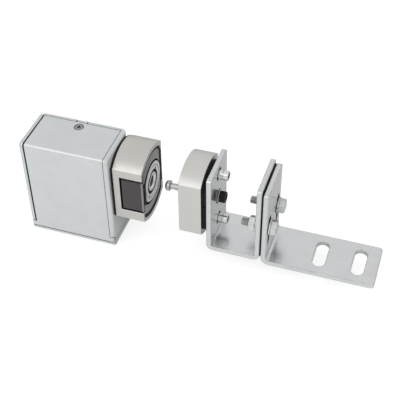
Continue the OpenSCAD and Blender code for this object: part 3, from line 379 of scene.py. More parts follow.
@dataclass(frozen=True)
class Finish:
    """A finish, and the record's slot that it stands for.

    Args:
        name: the finish's name.
        slot: the record's material slot; not used.
        colour: the main colour, in linear light.
        rough: the middle roughness.
        relief: the depth of its relief in metres.
        metallic: 1 for metal, 0 for rubber, plastic and lacquer.
        sheen: the strength of the gloss.
    """

    name: str
    slot: str
    colour: Triple
    rough: float
    relief: float = 0.00001
    metallic: float = 1.0
    sheen: float = 0.5

    def material(self) -> bpy.types.Material:
        """Builds the material once.

        Returns:
            The material.
        """
        label = self.name + "_finish"
        known = bpy.data.materials.get(label)
        if known is not None:
            return known
        made = bpy.data.materials.new(label)
        made.use_nodes = True
        made.node_tree.nodes.clear()
        made.diffuse_color = self.shade(1.0)
        sheet = Sheet(made.node_tree)
        plain = {"Base Color": self.shade(1.0), "Roughness": self.rough}
        shader = sheet.add("ShaderNodeBsdfPrincipled", plain)
        sheet.feed(shader, {"Metallic": self.metallic, "Specular IOR Level": self.sheen})
        colour, gloss, height = self.dress(sheet)
        bump = sheet.add("ShaderNodeBump", {"Strength": 1.0, "Distance": self.relief, "Height": height})
        sheet.feed(shader, {"Base Color": colour, "Roughness": gloss, "Normal": bump.outputs[0]})
        sheet.add("ShaderNodeOutputMaterial", {"Surface": shader.outputs[0]})
        return made

    def dress(self, sheet: Sheet) -> tuple[Socket, Socket, Socket]:
        """Draws the colour, the roughness and the relief. Each finish has its own.

        Args:
            sheet: the material's sheet.

        Returns:
            The colour, the roughness and the relief's height.
        """
        raise NotImplementedError

    def shade(self, factor: float) -> Quad:
        """The main colour made lighter or darker."""
        return (*(min(1.0, part * factor) for part in self.colour), 1.0)

    def coats(self, sheet: Sheet, tone: Socket, spread: float, *layers: tuple[Socket, float, Quad]) -> Socket:
        """Varies the main colour and lays other colours over it.

        Args:
            sheet: the material's sheet.
            tone: 0 gives the darkest main colour, 1 the lightest.
            spread: how much darker and lighter it gets.
            layers: each layer's mask, strength and colour.

        Returns:
            The colour's socket.
        """
        under = sheet.mix(tone, self.shade(1.0 - spread), self.shade(1.0 + spread))
        for mask, strength, colour in layers:
            under = sheet.mix(sheet.math("MULTIPLY", mask, strength), under, colour)
        return under

    def gloss(self, sheet: Sheet, value: Socket, low: float, high: float, spread: float) -> Socket:
        """Varies the roughness by a value, from its low to its high."""
        return sheet.remap(value, low, high, self.rough - spread, self.rough + spread)


@dataclass(frozen=True)
class ZincPlate(Finish):
    """Bright zinc plating on bent sheet or bar.

    Args:
        relief: the depth of the crystals in metres.
        patch: how much lighter and darker the cloudy patches are.
        gloss_spread: how much the roughness changes over the patches.
        patch_scale: patches to the metre.
        wear_and_highlight: the colour along the edges, rubbed wear and a painted highlight in one.
        recess_shade: how dark the painted shade in the recesses is, 0 to 1.
        recess_shade_reach: how far from a corner the painted shade reaches, in metres.
        line: how dark the painted shade line beside the edges is, 0 to 1.
        shade_line_width: how far that painted line reaches from the edge, in metres.
        edge_width: the width of the rubbed and highlighted edges in metres.
        shade_reach: how far the soft shade beside a neighbour reaches, in metres.
        shade_depth: how dark that soft shade is, 0 to 1.
    """

    relief: float = 0.00003
    patch: float = 0.07
    gloss_spread: float = 0.10
    patch_scale: float = 60.0
    wear_and_highlight: Triple = (0.80, 0.82, 0.83)
    recess_shade: float = 0.85
    recess_shade_reach: float = 0.002
    line: float = 0.25
    shade_line_width: float = 0.0018
    edge_width: float = 0.0006
    shade_reach: float = 0.05
    shade_depth: float = 0.0

    def dress(self, sheet: Sheet) -> tuple[Socket, Socket, Socket]:
        """Mottles the colour and gloss, and paints a shade line beside the edges, rubbed wear with a highlight on the
        edges, and shade in the recesses and beside a neighbour.

        Args:
            sheet: the material's sheet.

        Returns:
            The colour, the roughness and the relief's height.
        """
        mottle = PlatingMottle.place(sheet, Scale=self.patch_scale)
        # A painted shade line beside the edges, rubbed wear with a painted highlight on the edges, and painted shade
        # in the recesses
        layers = [
            (EdgeWearAndHighlight.place(sheet, Width=self.shade_line_width)["Mask"], self.line, self.shade(SHADE_TONE)),
            (EdgeWearAndHighlight.place(sheet, Width=self.edge_width)["Mask"], 1.0, (*self.wear_and_highlight, 1.0)),
            (RecessShade.place(sheet, Reach=self.recess_shade_reach)["Mask"], self.recess_shade, self.shade(RECESS_SHADE_TONE)),
        ]
        # Painted shade on the wall beside a neighbour
        if self.shade_depth:
            shaded = NeighbourShade.place(sheet, Reach=self.shade_reach)["Mask"]
            layers.append((shaded, self.shade_depth, self.shade(SHADE_TONE)))
        tone = sheet.weigh(mottle["Patches"], 0.75, mottle["Crystals"], 0.25)
        gloss = self.gloss(sheet, mottle["Patches"], 0.0, 1.0, self.gloss_spread / 2)
        dusty = sheet.weigh(gloss, 1.0, SurfaceDust.place(sheet)["Veil"], 0.06, clamp=True)
        return self.coats(sheet, tone, self.patch, *layers), dusty, mottle["Height"]


@dataclass(frozen=True)
class SatinMetal(Finish):
    """Machined and satin-brushed metal.

    Args:
        grain: scale of the grain along X, Y and Z.
        contrast: how much the lines change the colour.
        wear_and_highlight: the colour along the edges, rubbed wear and a painted highlight in one.
        edge_width: the width of the rubbed and highlighted edges in metres.
        recess_shade: how dark the painted shade in the recesses is, 0 to 1.
        recess_shade_reach: how far from a corner the painted shade reaches, in metres.
    """

    grain: Triple = (60.0, 1500.0, 1500.0)
    contrast: float = 0.06
    wear_and_highlight: Triple = (0.85, 0.84, 0.81)
    edge_width: float = 0.0005
    recess_shade: float = 0.9
    recess_shade_reach: float = 0.002

    def dress(self, sheet: Sheet) -> tuple[Socket, Socket, Socket]:
        """Draws the grain in the colour, the gloss and the relief.

        Args:
            sheet: the material's sheet.

        Returns:
            The colour, the roughness and the relief's height.
        """
        grain = DrawnGrain.place(sheet, Scale=self.grain)
        patches = PlatingMottle.place(sheet, Scale=35.0)["Patches"]
        edges = EdgeWearAndHighlight.place(sheet, Width=self.edge_width)["Mask"]
        recess_shaded = RecessShade.place(sheet, Reach=self.recess_shade_reach)["Mask"]
        tone = sheet.weigh(grain["Lines"], 0.6, patches, 0.4)
        # Rubbed wear with a painted highlight on the edges, and painted shade in the recesses
        layers = (edges, 1.0, (*self.wear_and_highlight, 1.0)), (recess_shaded, self.recess_shade, self.shade(RECESS_SHADE_TONE))
        gloss = self.gloss(sheet, grain["Lines"], 0.0, 1.0, -0.06)
        return self.coats(sheet, tone, self.contrast, *layers), gloss, grain["Height"]


@dataclass(frozen=True)
class TurnedMetal(Finish):
    """Metal turned on a lathe about the head's axis.

    Args:
        pitch: distance between the rings in metres.
        contrast: how much the rings change the colour.
        recess_shade: how dark the painted shade in the grooves is, 0 to 1.
    """

    pitch: float = 0.0004
    contrast: float = 0.08
    recess_shade: float = 0.95

    def dress(self, sheet: Sheet) -> tuple[Socket, Socket, Socket]:
        """Draws the rings in the colour, the gloss and the relief.

        Args:
            sheet: the material's sheet.

        Returns:
            The colour, the roughness and the relief's height.
        """
        turned = TurnedRings.place(sheet, Pitch=self.pitch)
        edges = EdgeWearAndHighlight.place(sheet, Width=0.0003)["Mask"]
        recess_shaded = RecessShade.place(sheet, Reach=0.003)["Mask"]
        tone = sheet.remap(sheet.weigh(turned["Rings"], 0.7, turned["Sweep"], 0.3), 0.3, 0.7)
        # A painted highlight on the edges and painted shade in the grooves
        layers = (edges, 0.7, self.shade(1.6)), (recess_shaded, self.recess_shade, self.shade(RECESS_SHADE_TONE))
        gloss = self.gloss(sheet, turned["Sweep"], 0.3, 0.7, 0.05)
        return self.coats(sheet, tone, self.contrast, *layers), gloss, turned["Rings"]


@dataclass(frozen=True)
class BlackStock(Finish):
    """Rubber, blackened steel or black plastic.

    Args:
        relief: the depth of the grain in metres.
        metallic: 0, since black stock is dull.
        sheen: the strength of the gloss.
        grain: scale of the fine surface grain to the metre.
        bloom: the greyish colour of the worn or powdery patches.
    """

    relief: float = 0.00003
    metallic: float = 0.0
    sheen: float = 0.22
    grain: float = 1800.0
    bloom: Triple = (0.05, 0.048, 0.045)

    def dress(self, sheet: Sheet) -> tuple[Socket, Socket, Socket]:
        """Adds a fine grain, greyish patches and rubbed edges.

        Args:
            sheet: the material's sheet.

        Returns:
            The colour, the roughness and the relief's height.
        """
        grain = sheet.noise(sheet.where(), self.grain, 3.0)["Fac"]
        dust = SurfaceDust.place(sheet, Scale=120.0)["Veil"]
        edges = EdgeWearAndHighlight.place(sheet, Width=0.0004)["Mask"]
        worn = sheet.weigh(dust, 0.5, edges, 0.6, clamp=True)
        colour = sheet.mix(worn, self.shade(1.0), (*self.bloom, 1.0))
        return colour, self.gloss(sheet, grain, 0.3, 0.7, 0.08), grain


@dataclass(frozen=True)
class MouldedPart(Finish):
    """Moulded plastic, varnished board or lacquered wire.

    Args:
        relief: the depth of the grain in metres.
        metallic: 0, since these aren't metal.
        second: the second colour of the fine variation.
        grain: scale of the moulded grain to the metre.
        bands: rows of wire to the metre along Z, or 0 for none.
    """

    relief: float = 0.00002
    metallic: float = 0.0
    second: Triple = (0.1, 0.1, 0.1)
    grain: float = 1500.0
    bands: float = 0.0

    def dress(self, sheet: Sheet) -> tuple[Socket, Socket, Socket]:
        """Adds a fine variation, and rows where the piece is wound.

        Args:
            sheet: the material's sheet.

        Returns:
            The colour, the roughness and the relief's height.
        """
        where = sheet.where()
        grain = height = sheet.noise(where, self.grain, 3.0)["Fac"]
        if self.bands:
            feeds = {"Vector": where, "Scale": self.bands, "Distortion": 0.4}
            height = sheet.add("ShaderNodeTexWave", feeds, bands_direction="Z").outputs["Fac"]
        edges = EdgeWearAndHighlight.place(sheet, Width=0.0004)["Mask"]
        tone = sheet.weigh(height, 0.6, edges, 0.3, clamp=True)
        colour = sheet.mix(tone, self.shade(1.0), (*self.second, 1.0))
        return colour, self.gloss(sheet, grain, 0.3, 0.7, 0.06), height


class Stock(Enum):
    """The finishes of the lock's pieces."""

    BOX_ZINC = ZincPlate(
        "box_zinc", "zinc_sheet", (0.645, 0.665, 0.67), 0.42,
        patch=0.05, patch_scale=45.0, wear_and_highlight=(0.93, 0.95, 0.96), shade_depth=0.6)
    BAR_ZINC = ZincPlate(
        "bar_zinc", "bar_zinc", (0.64, 0.645, 0.65), 0.24, 0.00002,
        patch=0.05, patch_scale=70.0, gloss_spread=0.12, wear_and_highlight=(0.86, 0.865, 0.87), line=0.8)
    BRIGHT = ZincPlate(
        "bright_steel", "bright_bolt", (0.66, 0.665, 0.66), 0.18,
        patch=0.12, wear_and_highlight=(0.95, 0.95, 0.94), line=0.95, shade_line_width=0.0011, edge_width=0.0003)
    SOLENOID_STEEL = ZincPlate("solenoid_steel", "solenoid_steel", (0.50, 0.51, 0.52), 0.35)
    SHELL_SATIN = SatinMetal(
        "shell_satin", "satin_head", (0.57, 0.555, 0.525), 0.36,
        grain=(1500.0, 60.0, 60.0), wear_and_highlight=(0.93, 0.92, 0.89), edge_width=0.0009)
    BLOCK_SATIN = SatinMetal(
        "block_satin", "satin_block", (0.61, 0.60, 0.575), 0.38, grain=(1500.0, 60.0, 60.0), contrast=0.04)
    SCREW_GREY = SatinMetal(
        "screw_grey", "bright_bolt", (0.30, 0.31, 0.31), 0.30, contrast=0.05, edge_width=0.0002, recess_shade_reach=0.003)
    LATCH_STEEL = SatinMetal("latch_steel", "latch_steel", (0.45, 0.45, 0.44), 0.34)
    SPRING_STEEL = SatinMetal("spring_steel", "spring_steel", (0.50, 0.51, 0.52), 0.25)
    BRASS = SatinMetal("brass", "brass", (0.55, 0.40, 0.16), 0.30)
    CORE_TURNED = TurnedMetal("core_turned", "dark_core", (0.30, 0.293, 0.285), 0.36)
    DISC_TURNED = TurnedMetal("disc_turned", "disc_metal", (0.72, 0.72, 0.71), 0.30, pitch=0.0003)
    PIN_POLISHED = TurnedMetal("pin_polished", "satin_block", (0.42, 0.43, 0.44), 0.16, contrast=0.05)
    # The land is the core's colour darkened as painted shade
    SHADED_LAND = BlackStock(
        "land_in_shade", "dark_core", (0.075, 0.066, 0.069), 0.55, sheen=0.45, bloom=(0.10, 0.093, 0.094))
    BLACK_STEEL = BlackStock("black_steel", "black_steel", (0.007, 0.007, 0.008), 0.40, bloom=(0.028, 0.028, 0.03))
    RUBBER = BlackStock("black_rubber", "rubber", (0.006, 0.005, 0.005), 0.66, bloom=(0.03, 0.029, 0.028))
    # Black filler that paints shade into the head's gaps and the disc's groove
    GAP_SHADE = BlackStock("gap_shade_filler", "dark_core", (0.006, 0.006, 0.006), 0.6, bloom=(0.015, 0.015, 0.015))
    BLACK_PLASTIC = BlackStock("black_plastic", "black_plastic", (0.018, 0.018, 0.020), 0.48)
    BOBBIN = MouldedPart("bobbin_plastic", "bobbin_plastic", (0.72, 0.69, 0.58), 0.45, second=(0.62, 0.59, 0.49))
    COPPER = MouldedPart(
        "copper_winding", "copper", (0.30, 0.09, 0.03), 0.32, 0.0002, second=(0.62, 0.25, 0.10), bands=520.0)
    BOARD = MouldedPart("board_varnish", "board", (0.02, 0.12, 0.06), 0.35, second=(0.03, 0.17, 0.08), grain=260.0)
    RELAY = MouldedPart("relay_plastic", "relay_plastic", (0.01, 0.06, 0.26), 0.4, second=(0.015, 0.075, 0.30))
    TERMINAL = MouldedPart(
        "terminal_plastic", "terminal_plastic", (0.02, 0.17, 0.07), 0.42, second=(0.03, 0.21, 0.09))


# The photograph's view, light and floor

def fresh_sheet(owner: Union[bpy.types.Material, bpy.types.World]) -> Sheet:
    """Empties a material's or a world's nodes.

    Args:
        owner: the material or the world.

    Returns:
        Its sheet.
    """
    owner.use_nodes = True
    owner.node_tree.nodes.clear()
    return Sheet(owner.node_tree)


def show(name: str, data: bpy.types.ID) -> Thing:
    """Puts a new object in the scene.

    Args:
        name: the object's name.
        data: its mesh, lamp or camera.

    Returns:
        The object.
    """
    made = bpy.data.objects.new(name, data)
    bpy.context.scene.collection.objects.link(made)
    return made


@dataclass
class Studio:
    """Camera at the photograph's angle, soft light and a pale floor.

    Args:
        place: the camera's place in millimetres.
        turns: its azimuth, elevation and roll in degrees.
        lens: the focal length on a 36 mm sensor.
        aim: the point that the lamps look at, in metres.
        floor_z: the floor's height in millimetres.
        floor_reach: half the floor's side in metres.
        floor_grey: the floor's own colour.
        surround: the surround's strength near the horizon and overhead.
        surround_sides: what that strength is multiplied by at its left and right.
        surround_tone: the surround's colour.
        mirrored_white: how much metal mirrors plain white in place of the surround.
        floor_glow: what the floor adds where the camera sees it, and where metal mirrors its front and rear half.
        lamps: each lamp's name, its place and side in metres, and its power in watts.
    """

    place: Triple = (324.61, -622.84, 593.99)
    turns: Triple = (18.427, 42.999, -0.608)
    lens: float = 81.73
    aim: Triple = (0.12, -0.02, 0.0)
    floor_z: float = -55.15
    floor_reach: float = 6.0
    floor_grey: float = 0.50
    surround: Point = (0.62, 0.88)
    surround_sides: Point = (1.04, 0.86)
    surround_tone: Quad = (0.975, 0.99, 1.0, 1.0)
    mirrored_white: float = 0.55
    floor_glow: Triple = (0.70, 0.55, 0.20)
    lamps: tuple[tuple[str, Triple, float, float], ...] = (
        ("key_softbox", (-0.50, -0.95, 1.05), 1.0, 3.0),
        ("side_softbox", (1.25, -0.45, 0.85), 0.8, 1.5),
    )

    def set_camera(self) -> None:
        """Makes the camera and makes it the scene's own."""
        az, el, roll = (math.radians(a) for a in self.turns)
        forward = Vector((-math.sin(az) * math.cos(el), math.cos(az) * math.cos(el), -math.sin(el)))
        level = Vector((math.cos(az), math.sin(az), 0.0))
        above = level.cross(forward)
        right = math.cos(roll) * level + math.sin(roll) * above
        up = -math.sin(roll) * level + math.cos(roll) * above
        data = bpy.data.cameras.new("photo_camera")
        data.lens, data.sensor_width = self.lens, 36.0
        data.clip_start, data.clip_end = 0.01, 50.0
        camera = show("photo_camera", data)
        turn = Matrix((right, up, -forward)).transposed().to_4x4()
        camera.matrix_world = Matrix.Translation(Vector(self.place) * MM) @ turn
        bpy.context.scene.camera = camera

    def lamp(self, name: str, place: Triple, size: float, power: float) -> None:
        """Adds a soft square lamp.

        Args:
            name: the lamp's name.
            place: its place in metres.
            size: its side in metres.
            power: its power in watts.
        """
        data = bpy.data.lights.new(name, "AREA")
        data.shape, data.size, data.energy = "SQUARE", size, power
        lamp = show(name, data)
        lamp.location = place
        lamp.rotation_euler = (Vector(self.aim) - lamp.location).to_track_quat("-Z", "Y").to_euler()

    def set_light(self) -> None:
        """Lights the scene with a pale surround and soft lamps. The camera sees plain white."""
        scene = bpy.context.scene
        scene.view_settings.view_transform = "Standard"
        scene.world = bpy.data.worlds.new("pale_surround")
        sheet = fresh_sheet(scene.world)
        ways = sheet.split(sheet.add("ShaderNodeTexCoord").outputs["Generated"])
        rise = sheet.remap(ways["Z"], -0.2, 0.8, *self.surround)
        side = sheet.remap(ways["X"], -0.8, 0.9, *self.surround_sides)
        feeds = {"Color": self.surround_tone, "Strength": sheet.math("MULTIPLY", rise, side)}
        soft = sheet.add("ShaderNodeBackground", feeds).outputs[0]
        white = sheet.add("ShaderNodeBackground", {"Color": WHITE, "Strength": 1.0}).outputs[0]
        seen = sheet.add("ShaderNodeLightPath").outputs
        shiny = sheet.math("ADD", seen["Is Glossy Ray"], seen["Is Transmission Ray"], clamp=True)
        share = sheet.weigh(seen["Is Camera Ray"], 1.0, shiny, self.mirrored_white, clamp=True)
        both = sheet.add("ShaderNodeMixShader", {0: share, 1: soft, 2: white}).outputs[0]
        sheet.add("ShaderNodeOutputWorld", {"Surface": both})
        for lamp in self.lamps:
            self.lamp(*lamp)

    def lay_floor(self) -> None:
        """Lays the pale floor that keeps the shadow."""
        mesh = bpy.data.meshes.new("floor")
        reach, z = self.floor_reach, self.floor_z * MM
        corners = [(-reach, -reach, z), (reach, -reach, z), (reach, reach, z), (-reach, reach, z)]
        mesh.from_pydata(corners, [], [(0, 1, 2, 3)])
        floor = show("floor", mesh)
        made = bpy.data.materials.new("pale_floor")
        sheet = fresh_sheet(made)
        paint = sheet.add("ShaderNodeBsdfDiffuse", {"Color": (*(self.floor_grey,) * 3, 1.0)}).outputs[0]
        seen = sheet.add("ShaderNodeLightPath").outputs
        depth = sheet.remap(sheet.split(sheet.where())["Y"], -0.06, 0.02, *self.floor_glow[1:])
        mirrored = sheet.math("MULTIPLY", seen["Is Glossy Ray"], depth)
        strength = sheet.weigh(seen["Is Camera Ray"], self.floor_glow[0], mirrored, 1.0)
        glow = sheet.add("ShaderNodeEmission", {"Color": WHITE, "Strength": strength}).outputs[0]
        both = sheet.add("ShaderNodeAddShader", {0: paint, 1: glow}).outputs[0]
        sheet.add("ShaderNodeOutputMaterial", {"Surface": both})
        mesh.materials.append(made)

    def build(self) -> None:
        """Sets the camera, the light and the floor."""
        self.set_camera()
        self.set_light()
        self.lay_floor()
        log.info("studio: camera, surround, two lamps and floor")


# Outlines, drawn anticlockwise in millimetres

def arc(centre: Point, radius: float, start: float, end: float, steps: int) -> Outline:
    """Points along a circular arc.

    Args:
        centre: the arc's centre.
        radius: the arc's radius.
        start: the first angle in degrees.
        end: the last angle in degrees.
        steps: how many parts it is split into.

    Returns:
        The points, both ends among them.
    """
    turns = [math.radians(start + (end - start) * i / steps) for i in range(steps + 1)]
    return [(centre[0] + radius * math.cos(t), centre[1] + radius * math.sin(t)) for t in turns]


def circle(centre: Point, radius: float, steps: int = 48) -> Outline:
    """A closed circle's points."""
    return arc(centre, radius, 0.0, 360.0, steps)[:-1]


def corner_box(low: Point, high: Point, radii: Quad, steps: int = 8) -> Outline:
    """A rectangle with its own radius at each corner.

    Args:
        low: the corner with the lowest coordinates.
        high: the corner with the highest coordinates.
        radii: the corners' radii, anticlockwise from low.
        steps: how many parts each rounded corner has.

    Returns:
        The closed outline's points.
    """
    spots = (low[0], low[1], 1, 1), (high[0], low[1], -1, 1), (high[0], high[1], -1, -1), (low[0], high[1], 1, -1)
    points: Outline = []
    for index, ((x, y, sx, sy), radius) in enumerate(zip(spots, radii)):
        if radius <= 0.0:
            points.append((x, y))
        else:
            start = 180.0 + 90.0 * index
            points += arc((x + sx * radius, y + sy * radius), radius, start, start + 90.0, steps)
    return points


def slot_outline(centre: Point, width: float, length: float, steps: int = 14) -> Outline:
    """A slot with round ends, long along the second axis.

    Args:
        centre: the slot's middle.
        width: its width.
        length: its length over the round ends.
        steps: how many parts each round end has.

    Returns:
        The closed outline's points.
    """
    half = (length - width) / 2
    upper = arc((centre[0], centre[1] + half), width / 2, 0.0, 180.0, steps)
    return upper + arc((centre[0], centre[1] - half), width / 2, 180.0, 360.0, steps)


def plus_outline(long: float, thin: float) -> Outline:
    """A cross with four equal arms."""
    a, b = long / 2, thin / 2
    return [(b, -a), (b, -b), (a, -b), (a, b), (b, b), (b, a), (-b, a), (-b, b), (-a, b), (-a, -b), (-b, -b), (-b, -a)]


def flatted(radius: float, flats: float, blend: float = 0.0, steps: int = 44) -> Outline:
    """The head's outline: a circle with two flats, in Y and Z about the head's axis.

    Args:
        radius: the circle's radius.
        flats: the distance across the flats.
        blend: the radius that rounds the meeting of arc and flat.
        steps: how many parts each arc has.

    Returns:
        The closed outline's points.
    """
    middle = (0.0, 0.0)
    turn = math.degrees(math.acos(flats / 2 / radius))
    if not blend:
        upper = arc(middle, radius, turn, 180.0 - turn, steps)
        return upper + arc(middle, radius, 180.0 + turn, 360.0 - turn, steps)
    inner = math.degrees(math.acos((flats / 2 - blend) / (radius - blend)))
    points: Outline = []
    for side in (0.0, 180.0):
        near, far = ((math.cos(t) * (radius - blend), math.sin(t) * (radius - blend)) for t in (
            math.radians(side + inner), math.radians(side + 180.0 - inner)))
        points += arc(near, blend, side, side + inner, 4)[:-1]
        points += arc(middle, radius, side + inner, side + 180.0 - inner, steps)
        points += arc(far, blend, side + 180.0 - inner, side + 180.0, 4)[1:]
    return points


def clipped(points: Outline, limit: float, keep_above: bool) -> Outline:
    """Cuts a convex outline along a line of one height.

    Args:
        points: the outline.
        limit: the line's second coordinate.
        keep_above: whether the part above the line stays.

    Returns:
        The part that stays.
    """
    sign = 1.0 if keep_above else -1.0
    kept: Outline = []
    for (x0, y0), (x1, y1) in zip(points, points[1:] + points[:1]):
        a, b = sign * (y0 - limit), sign * (y1 - limit)
        if a >= 0.0:
            kept.append((x0, y0))
        if a * b < 0.0:
            kept.append((x0 + (x1 - x0) * (a / (a - b)), limit))
    return kept


def inset(loop: Outline, depth: float) -> Outline:
    """Moves an outline's sides inwards, or a hole's sides outwards where it runs clockwise.

    Args:
        loop: the closed outline.
        depth: how far the sides move.

    Returns:
        As many points as the outline has.
    """
    moved: Outline = []
    for index, (x, y) in enumerate(loop):
        before, after = loop[index - 1], loop[(index + 1) % len(loop)]
        ax, ay = x - before[0], y - before[1]
        bx, by = after[0] - x, after[1] - y
        a, b = math.hypot(ax, ay) or 1.0, math.hypot(bx, by) or 1.0
        nx, ny = -ay / a - by / b, ax / a + bx / b
        lean = 1.0 + (ay * by + ax * bx) / (a * b)
        moved.append((x + depth * nx / lean, y + depth * ny / lean))
    return moved


def hexagon_radius(flats: float, turn: float) -> float:
    """A hexagon's radius at an angle, with a corner towards Z."""
    return flats / 2 / math.cos((turn - math.pi / 2) % (math.pi / 3) - math.pi / 6)


# Placing of drawn shapes

def along_x(y: float = HEAD_Y, z: float = HEAD_Z) -> Place:
    """Draws in Y and Z about a line that runs along X."""
    return lambda u, v, w: Vector((w, y + u, z + v))


def along_y(x: float = 0.0, z: float = 0.0) -> Place:
    """Draws in X and Z about a line that runs along Y."""
    return lambda u, v, w: Vector((x + u, w, z + v))


def along_z(x: float = 0.0, y: float = 0.0) -> Place:
    """Draws in X and Y about a line that runs along Z."""
    return lambda u, v, w: Vector((x + u, y + v, w))


def stud_lines() -> list[Place]:
    """The two lines that the guide studs lie on."""
    return [along_x(HEAD_Y, HEAD_Z + side * STUD_RISE) for side in SIDES]


@dataclass(frozen=True)
class BendLine:
    """The outer face of a bent bar, followed in X and Z, with the bar on its left.

    Args:
        start: where the bar begins.
        runs: its straight lengths, with a left bend of 90 degrees between two of them.
        radius: the outer radius of the bends.
        steps: how many parts each bend has.
    """

    start: Point
    runs: tuple[float, ...]
    radius: float
    steps: int = 12

    def length(self) -> float:
        """The developed length."""
        return sum(self.runs) + (len(self.runs) - 1) * self.radius * math.pi / 2

    def cuts(self) -> list[float]:
        """The distances along the line where a bend needs an edge across the bar.

        Returns:
            The distances.
        """
        found: list[float] = []
        reach = 0.0
        bend = self.radius * math.pi / 2
        for run in self.runs[:-1]:
            reach += run
            found += [reach + bend * i / self.steps for i in range(self.steps + 1)]
            reach += bend
        return found

    def spot(self, s: float, y: float, depth: float) -> Vector:
        """Walks along the line, and steps in from it.

        Args:
            s: the distance along the line.
            y: the place across the bar.
            depth: how far the spot lies under the outer face.

        Returns:
            The spot.
        """
        x, z = self.start
        turn, left = -math.pi / 2, s
        bend = self.radius * math.pi / 2
        for index, run in enumerate(self.runs):
            step = run if index < len(self.runs) - 1 else max(left, 0.0)
            cos, sin = math.cos(turn), math.sin(turn)
            if left <= step:
                return Vector((x + left * cos - depth * sin, y, z + left * sin + depth * cos))
            x, z, left = x + run * cos, z + run * sin, left - run
            cx, cz = x - self.radius * sin, z + self.radius * cos
            turn += min(left, bend) / self.radius
            if left < bend:
                reach = self.radius - depth
                return Vector((cx + reach * math.sin(turn), y, cz - reach * math.cos(turn)))
            x, z = cx + self.radius * math.sin(turn), cz - self.radius * math.cos(turn)
            left -= bend
        return Vector((x, y, z))


# Meshes in the making

